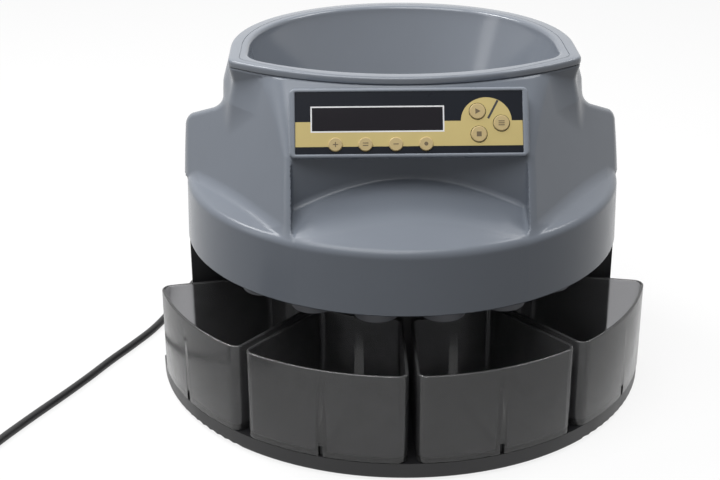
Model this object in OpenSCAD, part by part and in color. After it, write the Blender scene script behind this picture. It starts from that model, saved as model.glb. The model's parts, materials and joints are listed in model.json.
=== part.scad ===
// Electronic coin counter: coins go in the hopper, a belt-driven turntable flings them along a
// ring of graded holes, and each kind drops down its chute into a pull-out cup.
// Millimetres, +Z up, front towards -Y, standing on z = 0.

/* [Cups] */
// Outer radius of the ring of cups
cup_r = 179.5; // [170:0.5:185]
// Radius of the inner walls of the cups
cup_inner_r = 97; // [94:1:104]
// Height of the cups' rims above the table
cup_top_z = 78; // [60:0.5:90]
// Wall and floor of a cup
cup_wall = 2.2; // [1.6:0.1:3]
// Angle from one cup to the next
cup_pitch = 39; // [36:0.5:40]
// Gap between the walls of two cups
cup_gap = 5; // [3:0.5:8]
// Radius of a cup's upright corners
cup_corner_r = 7; // [4:0.5:10]
// Running gap between a cup and what it slides on
cup_clear = 0.4; // [0.3:0.1:0.8]

/* [Base] */
// How far the cups stand out past the base
base_inset = 0.5; // [0.5:0.5:4]
// Height of the top of the base
base_top_z = 13; // [11:0.5:18]
// Height of a rubber foot
foot_h = 1.5; // [1:0.5:5]
// Radius of a rubber foot
foot_r = 9; // [6:0.5:12]
// Radius of the circle of feet
foot_ring_r = 128; // [110:1:135]
// Width of the guide rail under each cup
rail_w = 2.4; // [1.6:0.2:4]
// Height of the guide rail
rail_h = 8; // [5:0.5:12]

/* [Lower housing] */
// Wall of the lower housing
lower_wall = 3; // [2:0.5:4]
// Gap from the cups' inner walls to the core of the housing
core_gap = 2; // [1:0.5:4]
// Angle from the last cup to the side wall
side_gap = 3; // [2:0.5:6]
// Depth of the flat at the rear, measured from the round wall
rear_flat = 8; // [6:0.5:12]

/* [Drum] */
// Radius of the grey drum at its bottom rim
drum_r = 156; // [150:1:162]
// How much narrower the drum is at its shoulder
drum_draft = 2.2; // [1:0.2:4]
// Wall of the grey housing
wall = 3; // [2:0.5:4]
// Height of the drum's bottom rim
rim_z = 108.6; // [100:0.2:120]
// Height of the front ledge at its edge
ledge_z = 154; // [145:0.5:160]
// Rounding of the ledge's edge
ledge_round = 6; // [4:0.5:9]
// Rise of the ledge towards the panel, per unit of run
ledge_rise = 0.32; // [0.2:0.02:0.4]
// Height of the shoulders at their outer edge
shoulder_z = 193; // [186:0.5:198]
// Rounding of the shoulders' upright edges
shoulder_round = 7; // [4:0.5:10]
// Rise of the shoulders towards the tower, per unit of run
shoulder_rise = 0.45; // [0.38:0.01:0.52]
// Fall of the shoulders behind their front, per unit of depth
shoulder_fall = 0.1; // [0.06:0.01:0.2]

/* [Tower] */
// Radius of the tower under the hopper
tower_r = 125.5; // [122:0.5:128]
// Height of the top of the tower
tower_z = 240.5; // [240:0.5:246]
// Slope of the tower's flare, per unit of height
flare_slope = 0.42; // [0.36:0.02:0.5]
// Height of the lower edge of the panel
panel_z = 198.8; // [195:0.2:202]
// Distance of the panel's lower edge from the drum's axis
panel_y = 105.5; // [104:0.5:107]
// Lean of the panel from upright
panel_lean = 30; // [29:0.5:31]
// Rounding of the tower's corners
tower_round = 12; // [6:1:18]
// Half width of the recess under the panel
recess_half_w = 77; // [70:0.5:80]
// Depth of the recess at its middle
recess_depth = 23; // [16:0.5:25]
// Radius of the recess's hollow back
recess_r = 150; // [130:1:200]
// Thickness of the recess's roof
recess_roof = 1.5; // [1.2:0.1:2]

/* [Hopper] */
// Radius of the hopper's lip
lip_r = 124; // [122:0.5:127]
// Thickness of the lip
lip_t = 4.8; // [4:0.2:8]
// Distance of the lip's front from the axis
lip_front_y = 88; // [86:0.5:92]
// Radius of the lip's front edge
lip_front_r = 186; // [160:1:220]
// Radius of the hopper's mouth
mouth_r = 109; // [104:0.5:112]
// Distance of the mouth's front from the axis
mouth_front_y = 72; // [68:0.5:73]
// Radius of the mouth's front edge
mouth_front_r = 169; // [150:1:200]
// Radius of the funnel's lower end
funnel_end_r = 72; // [66:0.5:73]
// Height of the funnel's lower end
funnel_end_z = 151; // [149.5:0.5:156]
// Wall of the funnel
funnel_wall = 2.4; // [1.8:0.2:3]

/* [Panel] */
// Width of the panel's frame
bezel_w = 156; // [152:1:160]
// Height of the panel's frame
bezel_h = 46; // [44:0.5:46.5]
// How far the frame stands out of the tower
bezel_t = 2.5; // [2.2:0.1:3]
// Depth of the frame's box behind its face
bezel_depth = 13; // [10:0.5:14]
// Corner radius of the frame
bezel_round = 4; // [2:0.5:6]
// Side strips of the frame, beside the label
bezel_side = 4; // [3:0.5:6]
// Upper and lower strips of the frame
bezel_strip = 2.6; // [2:0.2:3]
// Depth of the label below the frame's face
label_sink = 0.6; // [0.3:0.1:0.8]
// Thickness of the label
label_t = 0.4; // [0.3:0.1:0.8]
// Width of the display window
window_w = 86.8; // [70:0.4:88]
// Height of the display window
window_h = 17.2; // [14:0.2:18]
// Thickness of the display window
window_t = 1.6; // [1:0.2:2]
// Radius of a large button
button_r = 5.2; // [4.5:0.1:5.6]
// Radius of a small button
small_button_r = 4.6; // [3.5:0.1:4.8]
// How far a button stands out of the label
button_rise = 1; // [0.8:0.1:1.5]
// Travel of a button
button_travel = 0.6; // [0.4:0.1:0.7]
// Gap round a button
button_clear = 0.4; // [0.3:0.1:0.6]

/* [Works] */
// Thickness of the deck
deck_t = 3; // [2:0.5:4]
// Radius of a coin chute
chute_r = 15; // [14:0.5:16]
// Wall of a chute
chute_wall = 1.6; // [1.2:0.2:2]
// Radius of the circle of chutes
chute_ring_r = 129; // [127:0.5:131]
// Height of the chutes' lower ends
chute_low_z = 98; // [92:0.5:104]
// Height of the sorting track's underside
track_z = 139; // [134:0.5:140]
// Thickness of the sorting track
track_t = 3.5; // [2.5:0.5:4]
// Diameter of the smallest coin hole
coin_d = 17.4; // [16:0.2:18]
// Growth of the coin holes from one to the next
coin_step = 1.3; // [0.8:0.1:1.3]
// Radius of the turntable
turntable_r = 74; // [70:0.5:76]
// Thickness of the turntable
turntable_t = 4; // [3:0.5:4.5]
// Thickness of the turntable's rubber pad
pad_t = 2; // [1:0.5:2.5]
// Radius of the main shaft
shaft_r = 5; // [4:0.5:6]
// Running clearance of a shaft in its bearing
shaft_clear = 0.05; // [0.03:0.01:0.08]
// Outer radius of a bearing
bearing_r = 13; // [12:0.5:14]
// Width of a bearing
bearing_w = 8; // [6:0.5:10]
// Radius at which the belt runs on the drive pulley
pulley_r = 38; // [30:1:42]
// Radius at which the belt runs on the motor pulley
motor_pulley_r = 11; // [9:0.5:14]
// Width of the belt
belt_w = 7; // [5:0.5:8]
// Thickness of the belt
belt_t = 1.8; // [1.2:0.2:2.4]
// Distance from the turntable's axis to the motor's
motor_y = 78; // [72:1:86]
// Radius of the motor
motor_r = 21; // [17:0.5:24]
// Length of the motor
motor_h = 52; // [44:1:56]

/* [Power] */
// Width of the opening for the switch
switch_w = 13; // [11:0.5:15]
// Height of the opening for the switch
switch_h = 20; // [18:0.5:22]
// Height of the switch's middle
switch_z = 60; // [45:1:75]
// Tilt of the rocker each side of level
rocker_tilt = 7; // [5:0.5:8]
// Height of the cord's exit
exit_z = 26; // [24:0.5:34]
// Length of the strain relief outside the housing
relief_len = 26; // [20:1:40]
// Diameter of the cord
cord_d = 6; // [5:0.2:6]

/* [Hidden] */

$fn = 96;
// A little extra so that cuts run past faces
over = 1;
// Gap left between pieces that sit together
fit = 0.3;

GREY = [0.42, 0.46, 0.51];
BLACK = [0.05, 0.05, 0.06];
SMOKE = [0.16, 0.16, 0.17];
PALE = [0.75, 0.76, 0.76];
STEEL = [0.7, 0.7, 0.72];
GOLD = [0.83, 0.76, 0.55];
GREEN = [0.1, 0.35, 0.2];

// Cups
cup_angles = [for (i = [0 : 3]) (i - 1.5) * cup_pitch];
cup_z = base_top_z + fit;
// Angle at which the round of a corner meets the outer wall, seen from the axis
corner_turn = asin((cup_gap / 2 + cup_corner_r) / (cup_r - cup_corner_r));
front_reach = cup_r * cos(corner_turn);
// The drum's axis stands behind the middle of the part's box
axis_y = (front_reach - drum_r) / 2;
tunnel_w = rail_w + 2 * cup_clear;
tunnel_h = rail_h + cup_clear;

// Base and lower housing
base_r = cup_r - base_inset;
rear_base_r = drum_r - base_inset;
base_round = 2;
base_end = 4;
foot_angles = [45, 135, 225, 315];
core_r = cup_inner_r - core_gap;
lower_inset = 0.5;
lower_r = drum_r - lower_inset;
side_angle = 2 * cup_pitch + side_gap;
rear_y = lower_r - rear_flat;
far = 3 * drum_r;

// Housing
ledge_angle = atan(ledge_rise);
drum_edge_r = drum_r - drum_draft / 2;
drum_top_r = drum_r - drum_draft;
tower_foot_z = ledge_z - 2 * ledge_round;
tower_foot_inset = 1.5;
tower_foot_r = drum_edge_r - tower_foot_inset;
panel_slope = tan(panel_lean);
// Direction in which the flat cheeks beside the tower face, from the front
cheek_angle = 57;
// How far the cheeks stay behind the tower's front
front_gap = 1;
// Width over which the tower's flare eases into its upright wall
flare_ease = 8;
// The tower reaches past the top of the panel's frame
panel_margin = 1.8;
tower_top_z = max(tower_z, panel_z + bezel_h * cos(panel_lean) + panel_margin);
// Cosine below which a direction misses the front, and a curvature that counts as none
side_on = 0.1;
nearly_flat = 0.0001;
outer_columns = 96;
inner_columns = 48;
tower_steps = 6;

// Hopper
lip_z = tower_top_z + lip_t;
lip_edge = 1.6;
mouth_edge = 3;
funnel_top_z = lip_z - mouth_edge;
funnel_steps = 6;
funnel_bend = 1.5;
hole_gap = 1;

// Works
deck_z = rim_z;
deck_top_z = deck_z + deck_t;
deck_r = drum_r - wall - fit;
// Angle by which the deck's slot runs on past the last chute
slot_end = 0.5;
chute_count = 8;
chute_angles = [for (i = [0 : chute_count - 1]) (i - (chute_count - 1) / 2) * cup_pitch / 2];
track_in_r = turntable_r + 2;
track_edge = 18;
track_out_r = chute_ring_r + track_edge;
fence_h = 5;
fence_t = 2;
sensor_l = 9;
sensor_w = 12;
sensor_h = 6;
turntable_z = track_z + 1.5;
pad_z = turntable_z + turntable_t;
pad_top_z = pad_z + pad_t;
pad_r = turntable_r - 2;
hub_cap_r = 18;
hub_cap_h = 11;
hub_r = bearing_r + 4;
hub_flange_r = 32;
hub_flange_t = 4;
hub_low_z = deck_z - 11;
hub_top_z = turntable_z - 4;
low_bearing_z = hub_low_z + 1;
high_bearing_z = hub_top_z - 1 - bearing_w;
shoulder_bore_r = bearing_r - 2;
bore_r = shaft_r + shaft_clear;
flange_t = 1.5;
flange_rise = 4;
belt_gap = 0.3;
pulley_h = belt_w + 2 * flange_t + 2;
pulley_top_z = hub_low_z - 2;
pulley_z = pulley_top_z - pulley_h;
belt_z = pulley_z + (pulley_h - belt_w) / 2;
plate_t = 3;
plate_z = pulley_z - plate_t - 3;
plate_half_w = 40;
motor_boss_r = 7;
motor_boss_h = 4;
motor_shaft_r = 3;
motor_bore_r = motor_shaft_r + shaft_clear;
motor_bore_depth = 20;
post_r = 5;
post_x = 32;
post_in = 22;
post_out = 26;
post_in_y = motor_y - post_in;
post_out_y = motor_y + post_out;
post_edge = 8;
board_t = 1.6;
main_x = 46;
main_y = 30;
main_w = 68;
main_l = 54;
// Corner, width, length and height of each block on the main board
CHIPS = [[22, 20, 16, 16, 2], [46, 14, 8, 20, 3], [8, 42, 40, 6, 9]];
capacitor_xs = [10, 24, 38];
capacitor_y = 8;
capacitor_r = 5;
capacitor_h = 16;
standoff_h = 11;
standoff_r = 3;
standoff_inset = 6;
supply_x = -112;
supply_y = 30;
supply_w = 52;
supply_l = 46;
supply_h = 38;
supply_foot_w = 6;
supply_foot_t = 2;
winding_w = 26;
winding_over = 8;
winding_gap = 4;

// Panel, measured along its own slope
label_w = bezel_w - 2 * bezel_side;
label_h = bezel_h - 2 * bezel_strip;
label_face = bezel_t - label_sink;
label_floor = label_face - label_t;
window_x = -20.5;
window_v = 25.4;
window_floor = label_face - window_t;
window_seat = 1.4;
cap_sink = 1.5;
cap_edge = 0.5;
cap_skirt = 0.6;
bezel_floor_t = 1.2;
cap_floor = label_floor - cap_sink;
bezel_back = cap_floor - bezel_floor_t;
bezel_wall = 2.4;
cap_t = button_rise + label_t + cap_skirt;
cap_low = label_face + button_rise - cap_t;
stem_r = 2;
stem_len = 4.4;
stem_low = cap_low - stem_len;
tact_gap = 0.1;
tact_h = 1.5;
tact_half = 2.4;
board_front = stem_low - button_travel - tact_gap - tact_h;
peg_r = 2.2;
peg_x = 69;
peg_vs = [13, 36];
board_half_w = 73;
board_low_v = 6.3;
board_high_v = 40;
// Name, middle across the panel and up it, and radius of each button
BUTTONS = [
    ["button_start", [44.5, 29.9], button_r],
    ["button_mode", [60, 22], button_r],
    ["button_batch", [45.3, 14.9], button_r],
    ["button_plus", [-47.9, 8.8], small_button_r],
    ["button_total", [-28.4, 8.8], small_button_r],
    ["button_minus", [-8.7, 8.8], small_button_r],
    ["button_set", [10.9, 8.8], small_button_r]
];

// Power switch and cord exit on the rear flat
switch_x = 24;
switch_wall = 1.5;
switch_rim = 2.5;
switch_rim_t = 1.6;
switch_depth = 14;
rocker_depth = 8;
rocker_pivot = -0.5;
rocker_pin_r = 1.5;
rocker_gap = 0.7;
rocker_rise = 2.2;
exit_x = -24;
relief_r = 7;
relief_tip_r = 4.6;
relief_neck_r = 5;
relief_flange_r = 8;
relief_flange_t = 2.5;
relief_grooves = 4;
groove_depth = 1;
groove_w = 1.6;

// The lead: a free stretch on the table, then a coil of two layers, held by a tie
cord_r = cord_d / 2;
cord_sides = 8;
cord_steps = 2;
coil_x = -344;
coil_y = -194;
coil_out_r = 42;
coil_turns = 5;
coil_rings = 24;
coil_sides = 6;
coil_pitch = 6.7;
coil_low_z = 3.9;
coil_layer = 6.6;
coil_high_z = coil_low_z + coil_layer;
coil_climb = 0.5;
// Straight end of the coil before the plug
coil_tail = 24;
coil_end_x = coil_x + coil_out_r;
exit_y = axis_y + rear_y + relief_len;
CORD_ROUTE = [
    [exit_x, exit_y, exit_z], [exit_x, exit_y + 16, exit_z], [-29, exit_y + 38, 20], [-46, exit_y + 55, 10],
    [-76, exit_y + 58, 4], [-110, 226, 3], [-140, 194, 3], [-162, 152, 3], [-176, 108, 3], [-185, 74, 3],
    [-194, 48, 3], [-207, 22, 3], [-220, -2, 3], [-233, -28, 3], [-247, -54, 3], [-264, -84, 3],
    [-281, -116, 3], [-294, -146, 3.4], [coil_end_x, coil_y + cord_d + 16, coil_low_z],
    [coil_end_x, coil_y + cord_d, coil_low_z]
];
tie_w = 8;
tie_t = 0.6;
tie_gap = 0.25;
tie_inner_gap = 0.9;
plug_len = 36;
plug_neck = 12;
plug_head = 8;
plug_w = 28;
plug_t = 2 * coil_high_z;
plug_round = 7;
pin_r = 2;
pin_len = 19;
pin_apart = 18.6;

// The smaller or larger of two values, eased where they are within k of each other
function soft_min(a, b, k) = min(a, b) - pow(max(k - abs(a - b), 0), 2) / (4 * k);
function soft_max(a, b, k) = -soft_min(-a, -b, k);
function smooth(s) = let (c = min(max(s, 0), 1)) c * c * (3 - 2 * c);
function mix(a, b, s) = a + (b - a) * s;
function unit(v) = v / norm(v);

// Faces between rings of points, one ring after the next
function ring_faces(rings, sides, closed = false) = [
    for (i = [0 : rings - (closed ? 1 : 2)])
        for (j = [0 : sides - 1])
            let (a = i * sides + j)
            let (b = i * sides + (j + 1) % sides)
            let (c = ((i + 1) % rings) * sides + (j + 1) % sides)
            let (d = ((i + 1) % rings) * sides + j)
            each [[a, c, b], [a, d, c]]
];
// Fans of faces that close the two ends, each round a point in the middle of its ring
function end_faces(rings, sides) =
    let (low = rings * sides)
    let (top = (rings - 1) * sides)
    [
        for (j = [0 : sides - 1])
            each [[j, (j + 1) % sides, low], [top + (j + 1) % sides, top + j, low + 1]]
    ];
function middle(ring) = [for (p = ring) 1] * ring / len(ring);

// Distance from the axis, at angle a from the front, of an arc of curvature bend in front of it at y
function arc_reach(a, y, bend) =
    cos(a) < side_on ? far :
    bend < nearly_flat ? min(y / cos(a), far) :
    let (c = 1 / bend - y)
    sqrt(pow(c * cos(a), 2) - c * c + 1 / (bend * bend)) - c * cos(a);

// Round wall of the tower, flaring down to the ledge's edge
function side_reach(z) = min(
    tower_foot_r,
    soft_max(tower_r, tower_foot_r - flare_slope * (z - ledge_z), flare_ease)
);
// Sloping front of the tower: flat at the panel's foot, bending towards the lip
function slope_reach(a, z, t) =
    let (share = max(0, z - panel_z) / (tower_top_z - panel_z))
    arc_reach(a, panel_y - t / cos(panel_lean) - (z - panel_z) * panel_slope, share / lip_front_r);
function tower_reach(a, z, t) = soft_min(side_reach(z) - t, slope_reach(a, z, t), tower_round);
function lip_reach(a) = soft_min(lip_r, arc_reach(a, lip_front_y, 1 / lip_front_r), tower_round);
function mouth_reach(a) = soft_min(mouth_r, arc_reach(a, mouth_front_y, 1 / mouth_front_r), tower_round);
function polar(reach, a, z) = [reach * sin(a), -reach * cos(a), z];
function turns(n) = [for (j = [0 : n - 1]) 360 * j / n];

// Wall of the funnel: upright at the mouth, narrowing faster towards its end
function funnel_reach(a, s) = mix(mouth_reach(a), funnel_end_r, pow(s, funnel_bend));
function funnel_z(s) = mix(funnel_top_z, funnel_end_z, s);

// Smooth curve through the points of a route
function curve_point(p, i, s) =
    let (a = p[max(i - 1, 0)])
    let (b = p[i])
    let (c = p[i + 1])
    let (d = p[min(i + 2, len(p) - 1)])
    0.5 * (2 * b + (c - a) * s + (2 * a - 5 * b + 4 * c - d) * s * s + (3 * b - a - 3 * c + d) * s * s * s);
function curve(p, steps) = [
    for (i = [0 : len(p) - 2])
        for (k = [0 : steps - 1])
            curve_point(p, i, k / steps),
    p[len(p) - 1]
];
function heading(p, i) = unit(p[min(i + 1, len(p) - 1)] - p[max(i - 1, 0)]);
function tube_ring(p, ahead, r, sides) =
    let (across = unit(cross([0, 0, 1], ahead)))
    let (up = cross(ahead, across))
    [for (a = turns(sides)) p + r * (cos(a) * across + sin(a) * up)];

// The coil: in at a steady rate on the lower layer, up in the half turn where it reverses, and out above
function coil_point(turn) =
    let (reach = coil_out_r - coil_pitch * min(turn, coil_turns - turn))
    let (lift = smooth((turn - (coil_turns - coil_climb) / 2) / coil_climb))
    [coil_x + reach * cos(360 * turn), coil_y - reach * sin(360 * turn), coil_low_z + coil_layer * lift];
coil_path = [
    [coil_end_x, coil_y + cord_d, coil_low_z],
    for (k = [0 : coil_turns * coil_rings]) coil_point(k / coil_rings),
    [coil_end_x, coil_y - coil_tail, coil_high_z]
];
coil_gap = min([
    for (i = [0 : len(coil_path) - 1])
        for (j = [i + coil_rings / 2 : 1 : len(coil_path) - 1])
            norm(coil_path[i] - coil_path[j])
]) - cord_d;
echo(least_gap_in_coil = coil_gap);

// Puts children on the drum's axis
module place() {
    translate([0, axis_y, 0]) children();
}

// Turns what lies along +X to an angle from the front
module at_angle(a) {
    rotate([0, 0, a - 90]) children();
}

// Puts children on the panel: X across, Y up the slope, Z out of it
module on_panel() {
    place() translate([0, -panel_y, panel_z]) rotate([90 - panel_lean, 0, 0]) children();
}

// Puts children on the rear flat: Z out of it
module on_rear(x, z) {
    place() translate([x, rear_y, z]) rotate([-90, 0, 0]) children();
}

// A solid of rings stacked from low to high
module stack(rings) {
    sides = len(rings[0]);
    count = len(rings);
    polyhedron(
        points = [for (ring = rings) each ring, middle(rings[0]), middle(rings[count - 1])],
        faces = concat(ring_faces(count, sides), end_faces(count, sides)),
        convexity = 4
    );
}

module tube(path, first, last, sides) {
    stack([
        for (i = [0 : len(path) - 1])
            tube_ring(path[i], i == 0 ? first : i == len(path) - 1 ? last : heading(path, i), cord_r, sides)
    ]);
}

module ring(r_out, r_in, z, h) {
    translate([0, 0, z]) difference() {
        cylinder(r = r_out, h = h);
        translate([0, 0, -over]) cylinder(r = r_in, h = h + 2 * over);
    }
}

module block(x, y, z, w, l, h) {
    translate([x, y, z]) cube([w, l, h]);
}

module rounded_rect(w, h, r) {
    square([w, h - 2 * r], center = true);
    square([w - 2 * r, h], center = true);
    for (x = [-1, 1])
        for (y = [-1, 1])
            translate([x * (w / 2 - r), y * (h / 2 - r)]) circle(r);
}

// Plan of everything within an angle each side of the front
module front_plan(angle) {
    polygon([
        [0, 0], [-far * sin(angle), -far * cos(angle)], [-far, -2 * far],
        [far, -2 * far], [far * sin(angle), -far * cos(angle)]
    ]);
}

// Waste outside the round of a cup's outer corner
module cup_corner(t) {
    r = max(cup_corner_r - t, 0.5);
    side = cup_gap / 2 + t + r;
    turn = asin(side / (cup_r - t - r));
    big = 4 * cup_corner_r;
    outward = big * [cos(turn), -sin(turn)];
    rotate(cup_pitch / 2) translate([(cup_r - t - r) * cos(turn), -side]) difference() {
        polygon([[0, 0], outward, outward + [0, big], [0, big]]);
        circle(r);
    }
}

// Plan of a cup, lying along +X, with its walls moved in by t
module cup_plan(t) {
    half = cup_pitch / 2;
    apex = (cup_gap / 2 + t) / sin(half);
    difference() {
        intersection() {
            circle(cup_r - t);
            polygon([
                [apex, 0],
                [apex + far * cos(half), -far * sin(half)],
                [apex + far * cos(half), far * sin(half)]
            ]);
        }
        circle(cup_inner_r + t);
        cup_corner(t);
        mirror([0, 1]) cup_corner(t);
    }
}

// A cup, with a tunnel along its floor that runs over the guide rail
module coin_cup(i) {
    h = cup_top_z - cup_z;
    cover_w = tunnel_w + 2 * cup_wall;
    color(SMOKE) place() at_angle(cup_angles[i]) translate([0, 0, cup_z]) difference() {
        linear_extrude(h) cup_plan(0);
        difference() {
            translate([0, 0, cup_wall]) linear_extrude(h) cup_plan(cup_wall);
            block(0, -cover_w / 2, -over, cup_r, cover_w, tunnel_h + cup_wall + over);
        }
        block(0, -tunnel_w / 2, -over, 2 * cup_r, tunnel_w, tunnel_h + over);
    }
}

module coin_cup_1() coin_cup(0);
module coin_cup_2() coin_cup(1);
module coin_cup_3() coin_cup(2);
module coin_cup_4() coin_cup(3);

// A disc with a rounded lower edge
module base_disc(r) {
    translate([0, 0, foot_h]) rotate_extrude() {
        translate([r - base_round, base_round]) circle(base_round);
        square([r - base_round, base_top_z - foot_h]);
        translate([0, base_round]) square([r, base_top_z - foot_h - base_round]);
    }
}

module base_plate() {
    color(BLACK) place() {
        base_disc(rear_base_r);
        intersection() {
            base_disc(base_r);
            linear_extrude(base_top_z) front_plan(2 * cup_pitch + base_end);
        }
        for (a = cup_angles)
            at_angle(a) block(cup_inner_r + cup_wall, -rail_w / 2, base_top_z - over,
                base_r - cup_inner_r - 2 * cup_wall, rail_w, rail_h + over);
    }
}

module rubber_feet() {
    color(BLACK) place()
        for (a = foot_angles)
            rotate(a) translate([foot_ring_r, 0, 0]) cylinder(r = foot_r, h = foot_h);
}

// Plan of the lower housing: a core behind the cups and a half drum at the rear
module lower_plan(t) {
    difference() {
        union() {
            circle(core_r - t);
            difference() {
                circle(lower_r - t);
                translate([0, t / sin(side_angle)]) front_plan(side_angle);
            }
        }
        translate([-far, rear_y - t]) square([2 * far, far]);
    }
}

module lower_housing() {
    color(BLACK) difference() {
        place() translate([0, 0, base_top_z]) difference() {
            linear_extrude(rim_z - base_top_z) lower_plan(0);
            translate([0, 0, -over]) linear_extrude(rim_z - base_top_z + 2 * over) lower_plan(lower_wall);
        }
        on_rear(switch_x, switch_z) cube([switch_w, switch_h, 4 * lower_wall], center = true);
        on_rear(exit_x, exit_z) cylinder(r = relief_neck_r + shaft_clear, h = 4 * lower_wall, center = true);
    }
}

module at_chutes(which = [0 : chute_count - 1]) {
    for (i = which)
        at_angle(chute_angles[i]) translate([chute_ring_r, 0, 0]) let ($chute = i) children();
}

// Plan of the curved slot that all the chutes pass through
module chute_slot() {
    half = chute_r + fit;
    intersection() {
        difference() {
            circle(chute_ring_r + half);
            circle(chute_ring_r - half);
        }
        front_plan(chute_angles[chute_count - 1] + asin(half / chute_ring_r) + slot_end);
    }
}

module coin_deck() {
    color(STEEL) place() difference() {
        translate([0, 0, deck_z]) cylinder(r = deck_r, h = deck_t);
        translate([0, 0, deck_z - over]) cylinder(r = hub_r + fit, h = deck_t + 2 * over);
        translate([0, 0, deck_z - over]) linear_extrude(deck_t + 2 * over) chute_slot();
    }
}

// The pair of chutes above a cup, hung from the track
module coin_chutes(i) {
    color(PALE) place() at_chutes([2 * i, 2 * i + 1])
        ring(chute_r, chute_r - chute_wall, chute_low_z, track_z - chute_low_z);
}

module coin_chutes_1() coin_chutes(0);
module coin_chutes_2() coin_chutes(1);
module coin_chutes_3() coin_chutes(2);
module coin_chutes_4() coin_chutes(3);

module sorting_track() {
    color(STEEL) place() {
        difference() {
            ring(track_out_r, track_in_r, track_z, track_t);
            at_chutes() translate([0, 0, track_z - over])
                cylinder(r = (coin_d + $chute * coin_step) / 2, h = track_t + 2 * over);
        }
        ring(track_out_r - fence_t, track_out_r - 2 * fence_t, track_z, track_t + fence_h);
    }
}

module coin_sensors() {
    color(BLACK) place() at_chutes()
        block(-chute_r - 2 - sensor_l, -sensor_w / 2, track_z - sensor_h, sensor_l, sensor_w, sensor_h);
}

module turntable() {
    boss_z = high_bearing_z + bearing_w + fit;
    color(STEEL) place() difference() {
        union() {
            translate([0, 0, turntable_z]) cylinder(r = turntable_r, h = turntable_t);
            translate([0, 0, boss_z]) cylinder(r = shaft_r + 3, h = turntable_z + over - boss_z);
        }
        translate([0, 0, boss_z - over]) cylinder(r = bore_r, h = turntable_t + pad_z - boss_z);
    }
}

module turntable_pad() {
    color(BLACK) place() difference() {
        translate([0, 0, pad_z]) cylinder(r = pad_r, h = pad_t);
        translate([0, 0, pad_z - over]) cylinder(r = bore_r, h = pad_t + 2 * over);
    }
}

module hub_cap() {
    ball_r = (hub_cap_r * hub_cap_r + hub_cap_h * hub_cap_h) / (2 * hub_cap_h);
    color(GREY) place() intersection() {
        translate([0, 0, pad_top_z + hub_cap_h - ball_r]) sphere(r = ball_r);
        translate([0, 0, pad_top_z]) cylinder(r = hub_cap_r + over, h = hub_cap_h + over);
    }
}

module main_shaft() {
    color(STEEL) place() translate([0, 0, pulley_z - over])
        cylinder(r = shaft_r, h = pad_top_z - pulley_z + over);
}

module shaft_bearings() {
    color(STEEL) place() {
        ring(bearing_r, bore_r, low_bearing_z, bearing_w);
        ring(bearing_r, bore_r, high_bearing_z, bearing_w);
    }
}

module bearing_hub() {
    seat_r = bearing_r + shaft_clear;
    color(PALE) place() difference() {
        union() {
            translate([0, 0, deck_top_z]) cylinder(r = hub_flange_r, h = hub_flange_t);
            translate([0, 0, hub_low_z]) cylinder(r = hub_r, h = hub_top_z - hub_low_z);
        }
        translate([0, 0, hub_low_z - over]) {
            cylinder(r = shoulder_bore_r, h = hub_top_z - hub_low_z + 2 * over);
            cylinder(r = seat_r, h = low_bearing_z + bearing_w - hub_low_z + over);
        }
        translate([0, 0, high_bearing_z]) cylinder(r = seat_r, h = hub_top_z - high_bearing_z + over);
    }
}

// A belt pulley with a flange each side, bored for its shaft
module pulley(seat_r, hole_r) {
    translate([0, 0, pulley_z]) difference() {
        union() {
            cylinder(r = seat_r, h = pulley_h);
            cylinder(r = seat_r + flange_rise, h = flange_t);
            translate([0, 0, pulley_h - flange_t]) cylinder(r = seat_r + flange_rise, h = flange_t);
        }
        translate([0, 0, -over]) cylinder(r = hole_r, h = pulley_h + 2 * over);
    }
}

module drive_pulley() {
    color(PALE) place() pulley(pulley_r, bore_r);
}

module motor_pulley() {
    color(STEEL) place() translate([0, motor_y, 0]) pulley(motor_pulley_r, motor_bore_r);
}

// Plan of a band round both pulleys, at distance t from their seats
module belt_plan(t) {
    big = pulley_r + t;
    small = motor_pulley_r + t;
    lean = (big - small) / motor_y;
    out = sqrt(1 - lean * lean);
    circle(big);
    translate([0, motor_y]) circle(small);
    polygon([
        [-big * out, big * lean], [big * out, big * lean],
        [small * out, motor_y + small * lean], [-small * out, motor_y + small * lean]
    ]);
}

module drive_belt() {
    color(BLACK) place() translate([0, 0, belt_z]) difference() {
        linear_extrude(belt_w) belt_plan(belt_gap + belt_t);
        translate([0, 0, -over]) linear_extrude(belt_w + 2 * over) belt_plan(belt_gap);
    }
}

module motor_shaft() {
    low_z = plate_z - motor_bore_depth + fit;
    color(STEEL) place() translate([0, motor_y, low_z]) cylinder(r = motor_shaft_r, h = pulley_top_z - low_z);
}

module drive_motor() {
    color(STEEL) place() translate([0, motor_y, 0]) difference() {
        union() {
            translate([0, 0, plate_z - motor_h]) cylinder(r = motor_r, h = motor_h);
            translate([0, 0, plate_z - over]) cylinder(r = motor_boss_r, h = motor_boss_h + over);
        }
        translate([0, 0, plate_z - motor_bore_depth])
            cylinder(r = motor_bore_r, h = motor_bore_depth + motor_boss_h + over);
    }
}

module motor_plate() {
    color(STEEL) place() difference() {
        block(-plate_half_w, post_in_y - post_edge, plate_z, 2 * plate_half_w,
            post_out_y - post_in_y + 2 * post_edge, plate_t);
        translate([0, motor_y, plate_z - over]) cylinder(r = motor_boss_r + fit, h = plate_t + 2 * over);
    }
}

module motor_posts() {
    post_z = plate_z + plate_t;
    color(STEEL) place()
        for (x = [-post_x, post_x])
            for (y = [post_in_y, post_out_y])
                translate([x, y, post_z]) cylinder(r = post_r, h = deck_z - post_z);
}

// Circuit board with its chips, sockets and capacitors
module main_board() {
    top = base_top_z + standoff_h + board_t;
    color(GREEN) place() translate([main_x, main_y, top]) {
        block(0, 0, -board_t, main_w, main_l, board_t);
        for (c = CHIPS)
            block(c[0], c[1], 0, c[2], c[3], c[4]);
        for (x = capacitor_xs)
            translate([x, capacitor_y, 0]) cylinder(r = capacitor_r, h = capacitor_h);
    }
}

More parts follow.
